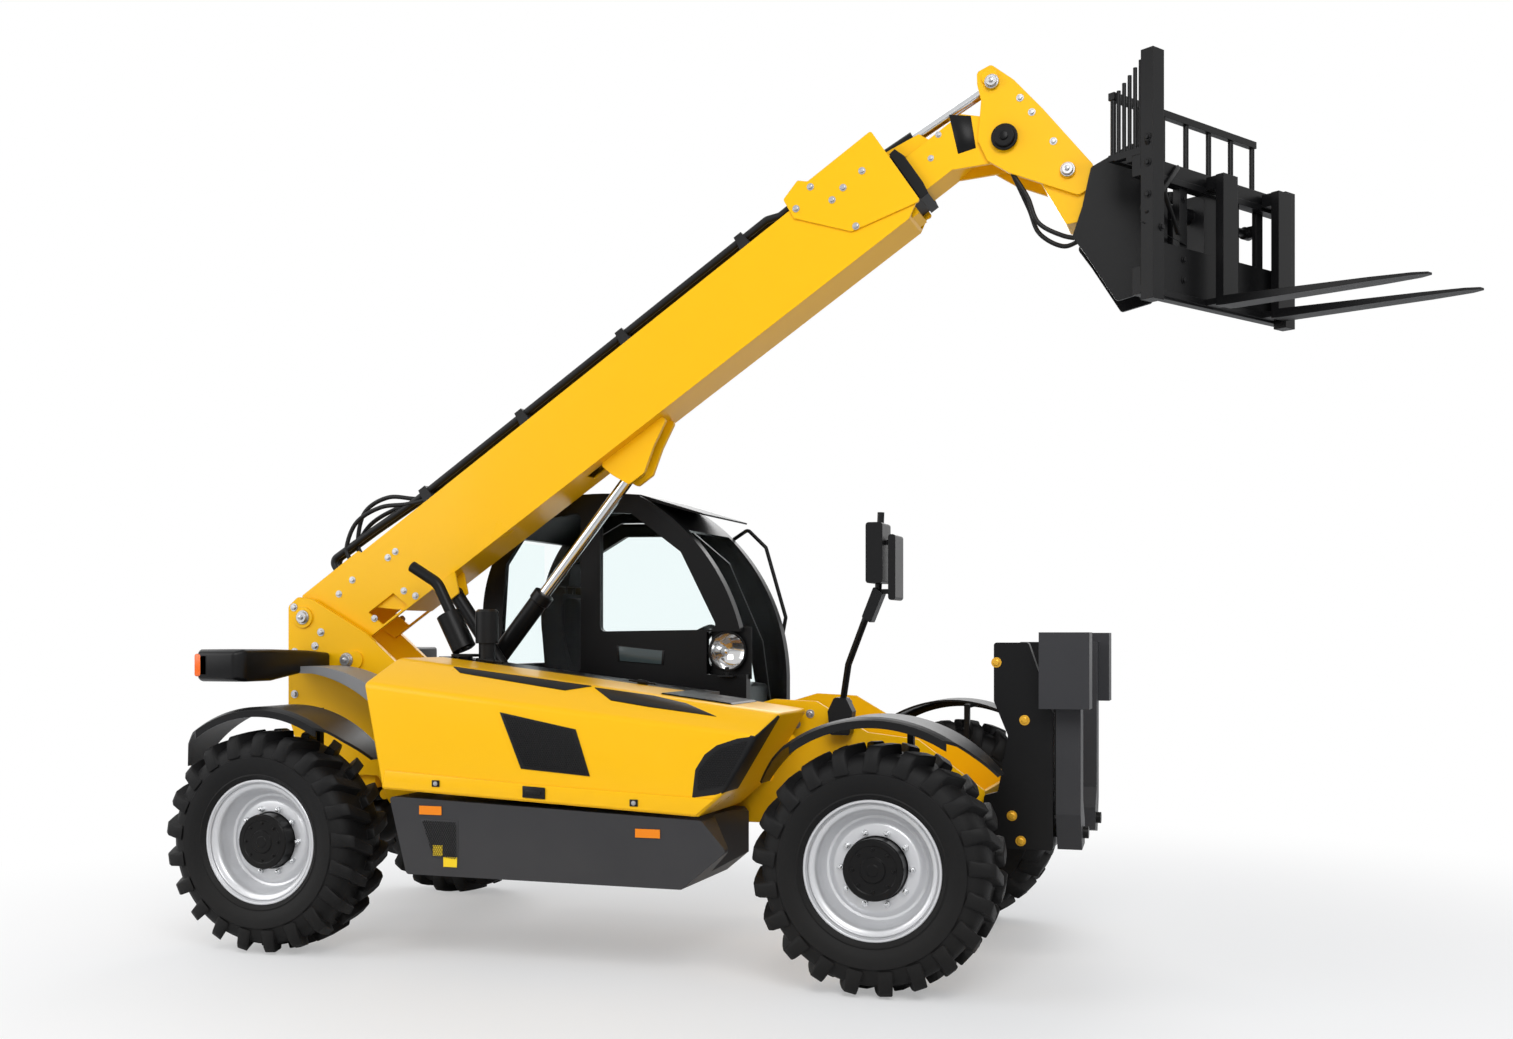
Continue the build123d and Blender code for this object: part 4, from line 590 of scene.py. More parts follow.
def set_out(name, shape, points, turn, look, place=unmoved, smooth=False, aims=None):
    """Copies of a shape at points of a local frame, each turned on by the same angle, as one mesh.

    With aims, each copy's own z is turned to the aim of its point first."""
    mesh = bpy.data.meshes.new(name)
    mesh.from_pydata([tuple(p) for p in points], [], [])
    if aims:
        stored = mesh.attributes.new("aim", "FLOAT_VECTOR", "POINT")
        stored.data.foreach_set("vector", [c for aim in aims for c in aim])
    obj = new_object(name, mesh)
    copies = obj.modifiers.new("set_out", "NODES")
    copies.node_group = set_out_group
    copies[set_out_sockets["Shape"]] = shape
    copies[set_out_sockets["Turn"]] = turn
    copies[set_out_sockets["Look"]] = look
    apply_modifiers(obj)
    obj.data.transform(place)
    if smooth:
        crisp(obj.data)
    return obj


print("inputs of set_out:", ", ".join(set_out_sockets))

# %% [markdown]
# ## Wheel sizes
# A wheel is what the eye goes to first.  The carcass, the rim and the hub are round all the way,
# so each is drawn as half an outline of radius and height and spun round the axle.  The driving
# sizes come from the CAD tyre and rim.

# %% Wheel outlines
tyre_low, tyre_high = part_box("tyre_front_right")
rim_low, rim_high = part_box("rim_front_right")
tyre_r = (tyre_high[2] - tyre_low[2]) / 2
half_w = (tyre_high[1] - tyre_low[1]) / 2
rim_r = (rim_high[2] - rim_low[2]) / 2
base_r = tyre_r - 0.043         # the carcass under its lugs
bead = 0.151                    # from the middle to where the tyre sits on the rim
hub_r = 0.145
seat_r = rim_r - 0.0005         # the rim stays a hair inside the tyre
wheel_steps, hub_steps = 96, 72

side_outline = [
    (rim_r - 0.024, bead - 0.006), (rim_r + 0.004, bead + 0.012), (rim_r + 0.022, bead + 0.030),
    (rim_r + 0.030, bead + 0.027), (rim_r + 0.055, half_w - 0.012), (rim_r + 0.085, half_w - 0.004),
    (rim_r + 0.118, half_w - 0.004), (rim_r + 0.124, half_w - 0.011), (base_r - 0.055, half_w - 0.016),
    (base_r - 0.022, half_w - 0.038), (base_r - 0.004, half_w - 0.078), (base_r, half_w - 0.13)]
tyre_outline = side_outline + [(r, -h) for r, h in reversed(side_outline)]
rim_outline = [
    (0.150, 0.052), (0.152, 0.062), (0.200, 0.062), (0.212, 0.058), (0.222, 0.046), (0.234, 0.040),
    (0.246, 0.044), (0.258, 0.062), (0.268, 0.095), (0.276, 0.128), (0.288, 0.140), (0.303, 0.143),
    (0.310, 0.151), (0.318, 0.1635), (0.326, 0.1645), (seat_r, 0.162), (seat_r, 0.154), (0.306, 0.149)]
back_outline = [
    (0.060, 0.046), (0.235, 0.024), (0.262, -0.02), (0.290, -0.10), (0.300, -0.145), (0.318, -0.1635),
    (seat_r, -0.164), (seat_r, -0.152), (0.306, -0.149)]
hub_outline = [
    (0.149, 0.055), (hub_r, 0.080), (hub_r, 0.134), (hub_r - 0.006, 0.141), (hub_r - 0.030, 0.142),
    (hub_r - 0.034, 0.139), (0.062, 0.139), (0.058, 0.145), (0.030, 0.146), (0.027, 0.149), (0.0, 0.149)]
print("tyre radius", round(tyre_r, 3), "half width", round(half_w, 3), "rim radius", round(rim_r, 3))

# %% [markdown]
# ## A lug of the tread
# A field tyre grips with slanted lugs that run from the middle out over the shoulder.  A texture
# would look flat where the tyre stands against the sky, so one lug is swept as a solid block
# through six sections, wider at its foot than at its top, as a mould needs it.

# %% Lug
lug_count = 21
lug_draft = 0.009               # how much wider a lug is at its foot, on each side
lug_edge = 0.004
lug_sections = [
    # height along the axle, outer radius, inner radius, middle round the tread, half thickness
    (0.006, tyre_r - 0.001, base_r - 0.02, -0.040, 0.024),
    (0.050, tyre_r - 0.001, base_r - 0.02, -0.024, 0.026),
    (0.110, tyre_r - 0.003, base_r - 0.03, 0.000, 0.028),
    (half_w - 0.036, tyre_r - 0.010, base_r - 0.06, 0.026, 0.031),
    (half_w - 0.012, tyre_r - 0.040, base_r - 0.08, 0.034, 0.031),
    (half_w - 0.003, tyre_r - 0.098, base_r - 0.09, 0.038, 0.026),
]


def lug_block(half):
    """One lug of the outer (1) or inner (-1) half of the tread; x is outward and z is the axle."""
    rings = []
    for z, top, low, mid, thick in lug_sections:
        foot = thick + lug_draft
        rings.append([(low, mid - foot, half * z), (top, mid - thick, half * z),
                      (top, mid + thick, half * z), (low, mid + foot, half * z)])
    return rounded(mesh_piece("lug", *swept(rings), [tyre_rubber]), lug_edge, 1)


print("lug with", len(lug_sections), "sections")

# %% [markdown]
# ## Tyres
# The carcass is turned, and the lug is set out round each half of the tread, the inner half by
# half a step further on, which keeps a real tyre running evenly.  Both are joined, because a tyre
# is one piece of rubber, and it takes the place of its CAD node.

# %% Tyres
def wheel_frame(node, sign):
    """Local frame at a wheel: z points outboard along the axle."""
    return Matrix.Translation(middle(node)) @ Matrix.Rotation(math.radians(-90 * sign), 4, "X")


def lug_ring(half, start, place):
    """A lug set out round one half of the tread, from a start given as a share of a step."""
    lug = lug_block(half)
    step = math.tau / lug_count
    turn_on = Matrix.Rotation(step * start, 4, "Z")
    lugs = set_out("lugs", lug, [(0, 0, 0)] * lug_count, step, tyre_rubber, place @ turn_on)
    drop(lug)
    return lugs


wheels = [(axle, side_name, sign) for axle in ("front", "rear")
          for side_name, sign in (("right", -1), ("left", 1))]
for axle, side_name, sign in wheels:
    place = wheel_frame(f"tyre_{axle}_{side_name}", sign)
    carcass = mesh_piece("carcass", *turned(tyre_outline, wheel_steps, place), [tyre_rubber], smooth=True)
    tyre = merged([carcass, lug_ring(1, 0.0, place), lug_ring(-1, 0.5, place)], f"tread_{axle}_{side_name}")
    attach(tyre, f"wheel_{axle}_{side_name}")
    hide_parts(f"tyre_{axle}_{side_name}")
print("tyres dressed:", len(wheels), "with", 2 * lug_count, "lugs each")

# %% [markdown]
# ## Rims
# The rim is a pressed dish, painted silver, with a black hub and a circle of nuts.  The nuts are
# the only part that isn't round all the way, so one hexagon with its stud is made and set out on
# the circle.  Each rim takes the place of its CAD node.

# %% Rims
nut_r, nut_count, nut_circle = 0.0155, 10, 0.172
stud_count, stud_circle = 8, 0.098

nut = mesh_piece("nut", *join([prism(circle(nut_r, 6), 0.06, 0.082),
                               turned([(0.0, 0.094), (0.0075, 0.092), (0.009, 0.089), (0.009, 0.078)], 12)]),
                 [rod_chrome])
stud = mesh_piece("stud", *turned([(0.0, 0.1475), (0.006, 0.147), (0.0075, 0.1435), (0.0075, 0.138)], 12),
                  [hub_black])
nut_spots = [(x, y, 0) for x, y in circle(nut_circle, nut_count)]
stud_spots = [(x, y, 0) for x, y in circle(stud_circle, stud_count)]
for axle, side_name, sign in wheels:
    place = wheel_frame(f"tyre_{axle}_{side_name}", sign)
    plate = mesh_piece("plate", *join([turned(outline, wheel_steps, place) for outline in
                                       (rim_outline, back_outline)]), [rim_silver], smooth=True)
    cap = mesh_piece("cap", *turned(hub_outline, hub_steps, place), [hub_black], smooth=True)
    nuts = set_out("nuts", nut, nut_spots, math.tau / nut_count, rod_chrome, place)
    studs = set_out("studs", stud, stud_spots, 0.0, hub_black, place, smooth=True)
    rim = merged([plate, cap, nuts, studs], f"rim_dressed_{axle}_{side_name}")
    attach(rim, f"wheel_{axle}_{side_name}")
    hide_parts(f"rim_{axle}_{side_name}")
drop(nut, stud)
print("rims dressed:", len(wheels), "with", nut_count, "nuts each")

# %% [markdown]
# ## Seating small parts on the solids
# A bolt has to lie on the plate that carries it.  Its depth could be typed in, but it would float
# or sink as soon as the plate moves.  So a ray is sent at the solid from one side, and the piece
# is seated where it lands, square to the face there.

# %% Seating rays
ray_from = 4.0                  # beside the machine's middle, well outside it
ray_slip = (0.0007, 0.0011)     # a ray through a face's own corner can slip past it
surfaces = {}


def surface_of(node):
    """A search tree over a node's triangles, built once."""
    if node not in surfaces:
        obj = nodes[node]
        verts = [obj.matrix_world @ v.co for v in obj.data.vertices]
        surfaces[node] = BVHTree.FromPolygons(verts, [tuple(p.vertices) for p in obj.data.polygons])
    return surfaces[node]


def land_on(node, x, z, side=-1):
    """Where a ray along the machine's width lands on a node, and the outward normal there, or None."""
    start = Vector((x + ray_slip[0], side * ray_from, z + ray_slip[1]))
    spot, normal, _, _ = surface_of(node).ray_cast(start, Vector((0, -side, 0)))
    if spot is None:
        return None
    return spot, normal if normal.y * side > 0 else -normal


def touch(node, point):
    """The place on a node's surface that lies nearest to a point."""
    return surface_of(node).find_nearest(Vector(point))[0]


print("seating rays ready")

# %% [markdown]
# ## Bolt and pin shapes
# A bolt's head is a hexagon on a washer, with a chamfered top, and a pin's end is a disc in a
# collar with a bolt in its middle.  Their threads would never show, so neither has any.  A bolt's
# measures are shares of its radius, as on standard bolts, so one function serves every size.

# %% Bolt and pin shapes
def bolt_shape(radius, look):
    """A hexagon head with a chamfered top on its washer; z is outward and 0 is the seat."""
    washer = turned([(radius * 0.2, -0.001), (radius * 1.5, -0.001), (radius * 1.5, radius * 0.22),
                     (radius * 0.2, radius * 0.22)], 20)
    top = turned([(0.0, radius * 0.92), (radius * 0.72, radius * 0.9), (radius * 0.86, radius * 0.78),
                  (radius * 0.86, radius * 0.3)], 20)
    return mesh_piece("bolt", *join([washer, prism(circle(radius, 6), 0.0, radius * 0.8), top]), [look])


def pin_shape(radius, look):
    """A pin's round end in its collar, with a centre bolt."""
    outline = [(radius * 1.25, -0.002), (radius * 1.25, 0.006), (radius * 1.2, 0.009), (radius * 1.02, 0.009),
               (radius, 0.012), (radius, 0.022), (radius * 0.9, 0.026), (radius * 0.42, 0.026),
               (radius * 0.4, 0.034), (radius * 0.3, 0.036), (0.0, 0.036)]
    return mesh_piece("pin", *turned(outline, 36), [look], smooth=True)


def seat_all(name, body, node, shape, look, spots):
    """Seats a shape at each (x, z) on both sides of a node, as one piece on a body."""
    landed = [land_on(node, x, z, side) for side in (-1, 1) for x, z in spots]
    landed = [hit for hit in landed if hit]
    obj = set_out(name, shape, [spot for spot, _ in landed], 0.0, look, smooth=True,
                  aims=[normal for _, normal in landed])
    drop(shape)
    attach(obj, body)
    print(name, len(landed), "of", 2 * len(spots))
    return obj


print("bolt and pin shapes ready")

# %% [markdown]
# ## Bolts and pins
# The plates of the mast, the frame and the boom are held by bolts that catch the light, and each
# pivot shows the end of its pin.  There are too many to place one by one in code, so a table says
# where each row lies on the side of its plate, and the same spots serve both sides.

# %% Bolts and pins
pivot_spot = (-3.086, 1.782)
bolt_rows = [
    # name, body, node, shape, radius, look, (x, z) spots
    ("mast_bolts", "chassis", "mast_plates", bolt_shape, 0.016, bolt_steel,
     ((-2.97, 1.694), (-3.01, 1.612), (-3.155, 1.842), (-3.15, 1.326), (-3.15, 1.577), (-3.15, 1.471))),
    ("mast_pins", "chassis", "mast_plates", pin_shape, 0.034, bolt_steel, ((-2.788, 1.531),)),
    ("pivot_pins", "boom_base", "boom_outer", pin_shape, 0.034, bolt_steel, (pivot_spot,)),
    ("boom_bolts", "boom_base", "boom_outer", bolt_shape, 0.014, bolt_steel,
     ((-2.789, 2.002), (-2.445, 1.935), (-2.368, 1.905), (-2.64, 1.775), (-2.6, 1.8), (-2.501, 2.165),
      (-2.551, 2.13), (-2.88, 1.92))),
    ("collar_bolts", "boom_base", "boom_outer", bolt_shape, 0.013, bolt_steel,
     ((0.02, 4.07), (0.303, 4.13), (0.394, 3.72), (0.14, 3.99), (-0.06, 3.96), (0.2, 4.05), (0.27, 3.84))),
    ("head_pins", "head", "boom_head", pin_shape, 0.03, bolt_steel, ((0.986, 4.535), (1.374, 4.045))),
    ("head_boss", "boom_tip", "boom_inner", pin_shape, 0.055, hub_black, ((1.053, 4.24),)),
    ("head_bolts", "head", "boom_head", bolt_shape, 0.013, bolt_steel,
     ((1.19, 4.36), (1.13, 4.44), (1.3, 4.2))),
    ("mid_bolts", "boom_middle", "boom_mid", bolt_shape, 0.013, bolt_steel,
     ((0.402, 4.127), (0.424, 4.02), (0.503, 3.923))),
    ("inner_bolts", "boom_tip", "boom_inner", bolt_shape, 0.011, bolt_steel, ((0.70, 4.30), (0.66, 4.18))),
    ("frame_bolts", "chassis", "front_frame", bolt_shape, 0.015, bolt_steel,
     ((-0.028, 1.235), (0.019, 1.215), (-0.124, 1.054), (-0.184, 0.985), (-0.17, 1.14), (0.093, 1.27))),
    ("frame_front_bolts", "chassis", "stabiliser_frame", bolt_shape, 0.017, bolt_brass,
     ((1.199, 1.256), (1.137, 0.783), (1.18, 0.66), (1.048, 1.01), (1.06, 1.54))),
    ("carriage_bolts", "carriage", "carriage_frame", bolt_shape, 0.013, paint_black,
     ((1.8, 3.9), (1.8, 3.75), (1.86, 3.6), (1.95, 3.5), (1.95, 3.4), (1.8, 4.02), (1.95, 3.8))),
]
for name, body, node, shape, radius, look, spots in bolt_rows:
    seat_all(name, body, node, shape(radius, look), look, spots)

# %% [markdown]
# ## The hood's skin
# The hood is a moulded cover with soft edges, and its front corner carries a black screen.  It
# could be sculpted, but its form is only two rows of corners: the side wall and the crease of the
# top.  So the skin is drawn from those, its edges are rounded by a bevel, and a wall is added.

# %% Hood skin
hood_low, hood_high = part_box("hood_shell")
wall_y, crease_y, inner_y = hood_low[1], hood_low[1] + 0.21, hood_high[1] - 0.012
hood_edge, hood_wall = 0.032, 0.010
# corners in side view, measured from below the front axle: two low, one at the nose, three high
low_corners = [(-2.590, 0.890), (-0.860, 0.805), (-0.730, 0.920)]
shoulder_side = [(-2.700, 1.430), (-1.160, 1.262), (-0.560, 1.200)]
shoulder_top = [(-2.620, 1.560), (-1.160, 1.385), (-0.500, 1.300)]
screen_curve = [(-0.890, 0.895), (-0.874, 1.03), (-0.826, 1.105), (-0.765, 1.150), (-0.66, 1.185)]
side_corners = low_corners + shoulder_side[::-1]
top_corners = low_corners + shoulder_top[::-1]


def from_axle(points, y):
    """Side-view corners, measured from below the front axle, at a width y."""
    return [(x + axle_x, y, z) for x, z in points]


row = len(side_corners)
skin_verts = (from_axle(side_corners, wall_y) + from_axle(top_corners, crease_y)
              + from_axle(top_corners, inner_y))
screen = tuple(range(len(skin_verts), len(skin_verts) + len(screen_curve)))
skin_verts += from_axle(screen_curve, wall_y)
skin_faces = [(0, 1, 2) + screen + (3, 4, 5), (2, 3) + screen[::-1]]
skin_slots = [0, 1]
for a, b in ((1, 2), (2, 3), (3, 4), (4, 5), (5, 0)):
    for first in (0, row):
        skin_faces.append((a + first, b + first, b + first + row, a + first + row))
        skin_slots.append(1 if (a, first) == (2, 0) else 0)
hood = mesh_piece("hood_skin", skin_verts, skin_faces, [paint_yellow, mesh_black], skin_slots)
add_bevel(hood, hood_edge, 5, 12)
wall = hood.modifiers.new("wall", "SOLIDIFY")
wall.thickness, wall.offset = hood_wall, -1
apply_modifiers(hood)
crisp(hood.data, 40)
print("hood skin with", len(hood.data.polygons), "faces")

# %% [markdown]
# ## Plates and wire mesh
# Vents are closed by a wire mesh.  It could be a picture with holes, but that turns flat in a
# close view.  So thin bars are laid across the outline in two directions, each cut where it meets
# the outline.  A second helper makes the flat plates that lie on the machine's right side.

# %% Plates and meshes
upright = Matrix(((1, 0, 0, 0), (0, 0, -1, 0), (0, 1, 0, 0), (0, 0, 0, 1)))
mesh_pitch, mesh_bar = 0.011, 0.0028


def side_plate(name, points, y, thick, look, soften=0.003, segments=2):
    """A flat plate on the machine's right side: x and z corners, its inner face at y."""
    return rounded(mesh_piece(name, *prism(points, -y, -y + thick, upright), [look]), soften, segments)


def crossing(points, across, offset):
    """Where a line, given by its offset along the across direction, cuts a convex outline."""
    hits = []
    for p, q in zip(points, points[1:] + points[:1]):
        dp, dq = across.dot(Vector(p)) - offset, across.dot(Vector(q)) - offset
        if dp * dq < 0:
            hits.append(Vector(p).lerp(Vector(q), dp / (dp - dq)))
    return hits


def lattice(name, points, y):
    """Crossed bars of a mesh inside a convex outline on the right side."""
    parts = []
    for degrees in (60, -60):
        along = Vector((math.cos(math.radians(degrees)), math.sin(math.radians(degrees))))
        across = Vector((-along.y, along.x))
        reach = [across.dot(Vector(p)) for p in points]
        steps = int((max(reach) - min(reach)) / mesh_pitch)
        for k in range(1, steps + 1):
            hits = crossing(points, across, min(reach) + k * mesh_pitch)
            if len(hits) == 2 and (hits[0] - hits[1]).length > mesh_pitch:
                half_bar = across * mesh_bar / 2
                ends = [hits[0] - half_bar, hits[1] - half_bar, hits[1] + half_bar, hits[0] + half_bar]
                if along.dot(hits[1] - hits[0]) < 0:
                    ends.reverse()
                parts.append(prism([tuple(e) for e in ends], -y, -y + mesh_bar, upright))
    return mesh_piece(name, *join(parts), [mesh_black])


def drawn_in(points, amount):
    """A convex outline moved in towards its middle."""
    centre = sum((Vector(p) for p in points), Vector((0, 0))) / len(points)
    return [tuple(Vector(p) + (centre - Vector(p)).normalized() * amount) for p in points]


print("plates and meshes ready")

# %% [markdown]
# ## Skirt, vent and screen
# A skirt steps out along the hood's bottom, and black meshes fill the side vent and the screen at
# the front corner.  The skirt could be part of the skin's outline, but the bevel would then melt
# the step away, so it is a plate of its own that is joined to the hood.

# %% Skirt and vents
def on_side(points):
    """Side-view corners moved from the axle to the frame's origin."""
    return [(x + axle_x, z) for x, z in points]


vent_rim_t = 0.005
vent_points = on_side([(-1.912, 1.292), (-1.497, 1.213), (-1.421, 0.984), (-1.795, 1.012)])
screen_points = on_side([(-0.862, 0.93), (-0.86, 1.02), (-0.81, 1.09), (-0.75, 1.135), (-0.6, 1.18),
                         (-0.725, 0.96)])
skirt_points = on_side([(-2.578, 0.896), (-0.868, 0.812), (-0.772, 0.893), (-1.785, 0.938), (-2.56, 0.985)])
skirt = side_plate("skirt", skirt_points, wall_y, 0.008, paint_yellow, 0.006, 3)
vent_rim = side_plate("vent_rim", vent_points, wall_y, vent_rim_t, plastic_black, 0.002)
vent_mesh = lattice("vent_mesh", drawn_in(vent_points, 0.018), wall_y - vent_rim_t)
screen_mesh = lattice("screen_mesh", screen_points, wall_y)
hood_all = merged([hood, skirt], "hood_cover")
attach(hood_all, "hood")
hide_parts("hood_shell")
vents_all = merged([vent_rim, vent_mesh, screen_mesh], "hood_meshes")
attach(vents_all, "hood")
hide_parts("hood_vents")
print("hood cover and meshes ready")

# %% [markdown]
# ## Latches and handle
# Two quarter-turn locks and a recessed handle hold the skirt.  Their recesses could be cut into
# the skin, but they are only a few millimetres deep, so thin plates with soft edges stand for
# them, and a small turned lock sits on each plate.

# %% Latches
plate_y = wall_y - 0.008        # the skirt's outer face
latch_spots = ((-1.669, 0.925), (-0.589, 0.862))
lock_outline = [(0.0, 0.013), (0.006, 0.013), (0.007, 0.010), (0.011, 0.010), (0.012, 0.006), (0.012, 0.0)]
handle_x, handle_z = -1.122, 0.896


def slanted(half_long, half_high, slant):
    """A handle's outline, a little higher at its rear end."""
    rear, front = handle_x - half_long, handle_x + half_long
    return [(rear, handle_z - half_high), (front, handle_z - half_high - slant),
            (front, handle_z + half_high), (rear, handle_z + half_high + slant)]


latch_parts = []
for x, z in latch_spots:
    corners = box_outline(x - 0.022, z - 0.017, x + 0.022, z + 0.017)
    lock_place = Matrix.Translation((x, plate_y, z)) @ upright
    latch_parts.append(side_plate("latch", corners, plate_y, 0.006, plastic_black, 0.003))
    latch_parts.append(mesh_piece("lock", *turned(lock_outline, 24, lock_place), [bolt_steel], smooth=True))
latch_parts.append(side_plate("handle_rim", slanted(0.062, 0.026, 0.006), plate_y, 0.008,
                              plastic_black, 0.004))
latch_parts.append(side_plate("handle_bar", slanted(0.042, 0.008, 0.004), plate_y - 0.008, 0.008,
                              plastic_black, 0.003))
latches = merged(latch_parts, "hood_latches")
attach(latches, "hood")
print("latches at", latch_spots)

# %% [markdown]
# ## The side tank
# The tank's side shows a meshed recess and four warning plates, which are left blank.  The plates
# could be painted on, but real ones are riveted sheet and stand off a little, so each is a thin
# plate seated on the wall that a ray finds.

# %% Tank side
tank_y = land_on("side_tank", -1.65, 0.65)[0].y
tank_rim_t = 0.003
tank_mesh_points = [(-1.769, 0.742), (-1.704, 0.548), (-1.556, 0.533), (-1.556, 0.739)]
# x and z of the lower rear corner, x and z of the upper front corner, look
plate_rows = ((-1.776, 0.763, -1.648, 0.808, plate_orange), (-0.591, 0.692, -0.461, 0.735, plate_orange),
              (-1.697, 0.556, -1.642, 0.610, plate_yellow), (-1.638, 0.502, -1.560, 0.553, plate_yellow))
tank_parts = [side_plate("tank_rim", tank_mesh_points, tank_y, tank_rim_t, paint_grey, 0.0012),
              lattice("tank_mesh", drawn_in(tank_mesh_points, 0.012), tank_y - tank_rim_t)]
for *corners, look in plate_rows:
    tank_parts.append(side_plate("plate", box_outline(*corners), tank_y - tank_rim_t, 0.0015, look,
                                 0.0006, 1))
tank_trim = merged(tank_parts, "tank_trim")
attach(tank_trim, "chassis")
print("tank trim with", len(plate_rows), "plates")

# %% [markdown]
# ## The headlamp
# The work lamp beside the cab is a round housing with a bright dish and a bulb, on a short post.
# A lit face would hide the dish, so the lamp is off: the dish has few, flat facets, which break
# the white studio into the sparkle that a real reflector shows.

# %% Headlamp
lamp_spot = (axle_x - 1.190, 0.248, 1.585)
lamp_turn = 50                  # degrees from +X towards -Y
lamp_place = (Matrix.Translation(lamp_spot) @ Matrix.Rotation(math.radians(-lamp_turn), 4, "Z")
              @ Matrix.Rotation(math.radians(90), 4, "Y"))
lamp_foot_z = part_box("headlamp")[0][2]
housing_outline = [(0.0, -0.075), (0.03, -0.074), (0.062, -0.066), (0.090, -0.045), (0.106, -0.016),
                   (0.113, 0.0), (0.115, 0.010), (0.112, 0.0155), (0.105, 0.0155), (0.103, 0.012)]
dish_outline = [(0.103, 0.012), (0.097, 0.004), (0.080, -0.016), (0.055, -0.034), (0.026, -0.044),
                (0.0, -0.046)]
bulb_outline = [(0.022, -0.042), (0.022, -0.02), (0.014, -0.006), (0.0, -0.002)]
post_outline = [(0.014, -0.145), (0.014, -0.09)]

foot = mesh_piece("lamp_foot", *prism(box_outline(-0.045, -0.035, 0.045, 0.035), lamp_foot_z,
                                      lamp_foot_z + 0.012, Matrix.Translation((*lamp_spot[:2], 0))),
                  [plastic_black])
headlamp = merged([
    mesh_piece("lamp_housing", *turned(housing_outline, 48, lamp_place), [plastic_black], smooth=True),
    mesh_piece("lamp_dish", *turned(dish_outline, 16, lamp_place), [lamp_body]),
    mesh_piece("lamp_bulb", *turned(bulb_outline, 20, lamp_place), [rod_chrome], smooth=True),
    mesh_piece("lamp_post", *turned(post_outline, 20, Matrix.Translation(lamp_spot)), [plastic_black],
               smooth=True),
    rounded(foot, 0.003)], "headlamp_dressed")
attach(headlamp, "chassis")
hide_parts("headlamp")
print("headlamp ready")

# %% [markdown]
# ## The rear lamps
# The rear lamps sit on two moulded arms that grow fuller towards their ends.  A plain bar would
# need several bevels to look moulded, so each arm is swept through five upright sections, and
# its lenses are small rounded blocks of their own colour.

# %% Rear lamps
arm_low, arm_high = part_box("rear_lights")
mast_face = abs(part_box("mast_plates")[0][1])
lens_z = 1.515
arm_sections = [
    # y, x low, x high, z low, z high
    (mast_face - 0.01, arm_low[0] + 0.06, arm_high[0], 1.480, 1.575),
    (0.42, arm_low[0] + 0.04, arm_high[0], 1.470, 1.590),
    (0.80, arm_low[0] + 0.01, arm_high[0] + 0.02, 1.425, 1.600),
    (1.03, arm_low[0], arm_high[0] + 0.01, 1.425, 1.600),
    (arm_high[1], arm_low[0] + 0.03, arm_high[0] - 0.03, 1.445, 1.585),
]
# y, width, height, look
lens_rows = ((1.0, 0.07, 0.09, lamp_orange), (0.88, 0.13, 0.09, lamp_red), (0.73, 0.10, 0.07, rim_silver))


def rear_arm(side):
    """The parts of one arm: its moulding, three lenses that face back and a lamp at its end."""
    rings = [[(x, side * y, z) for x, z in box_outline(x0, z0, x1, z1)]
             for y, x0, x1, z0, z1 in arm_sections]
    parts = [rounded(mesh_piece("arm", *swept(rings), [plastic_black]), 0.018, 3, 20)]
    for y, width, height, look in lens_rows:
        lens_place = (Matrix.Translation((arm_low[0] + 0.012, side * y, lens_z))
                      @ Matrix.Rotation(math.radians(-90), 4, "Y"))
        outline = box_outline(-height / 2, -width / 2, height / 2, width / 2)
        parts.append(rounded(mesh_piece("lens", *prism(outline, -0.02, 0.024, lens_place), [look]), 0.008, 3))
    end_place = Matrix.Translation((arm_low[0] + 0.055, side * (arm_high[1] - 0.05), lens_z))
    y_low, y_high = (-0.04, 0.05) if side > 0 else (-0.05, 0.04)
    end_outline = box_outline(-0.05, y_low, 0.04, y_high)
    end_lamp = mesh_piece("end_lamp", *prism(end_outline, -0.062, 0.062, end_place), [lamp_orange])
    return parts + [rounded(end_lamp, 0.012, 3)]


rear_arms = merged(rear_arm(-1) + rear_arm(1), "rear_lamp_arms")
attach(rear_arms, "chassis")
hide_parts("rear_lights")
print("rear arms with", len(lens_rows), "lenses each")

# %% [markdown]
# ## The mirror's foot
# The mirror's post stands in a small clamp on the frame.  A clamp has two halves and bolts, but it
# is no bigger than a hand, so one tapered block with soft edges stands for it and closes the gap
# between the post and the frame.

# %% Mirror foot
foot_points = [(0.215, 1.215), (0.325, 1.215), (0.318, 1.345), (0.225, 1.345)]
foot_in, foot_out = 0.4302, 0.462       # from the frame's side to the post
mirror_foot = rounded(mesh_piece("mirror_foot", *prism(foot_points, foot_in, foot_out, upright),
                                 [plastic_black]), 0.006, 3)
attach(mirror_foot, "chassis")
print("mirror foot", round(foot_out - foot_in, 3), "m deep")

# %% [markdown]
# ## Stripes on the hood
# Two black stripes run along the hood's shoulder.  They could be painted by a mask, but a thin
# raised strip gives a crisper edge, so each is drawn on the sloping shoulder itself, between its
# crease and the side wall.

# %% Stripes
stripe_under, stripe_over = -0.004, 0.005
# each corner: x from the axle, and how far down the shoulder, from 0 at its crease to 1 at the wall
stripe_corners = (((-2.28, 0.06), (-2.22, 0.24), (-1.62, 0.34), (-1.50, 0.06)),
                  ((-1.48, 0.10), (-1.36, 0.46), (-1.16, 0.50), (-0.80, 0.52), (-0.98, 0.20), (-1.16, 0.10)))


def height_on(line, x):
    """Height of a broken line at x."""
    for (x0, z0), (x1, z1) in zip(line, line[1:]):
        if x <= x1 or (x1, z1) == line[-1]:
            return z0 + (z1 - z0) * (x - x0) / (x1 - x0)


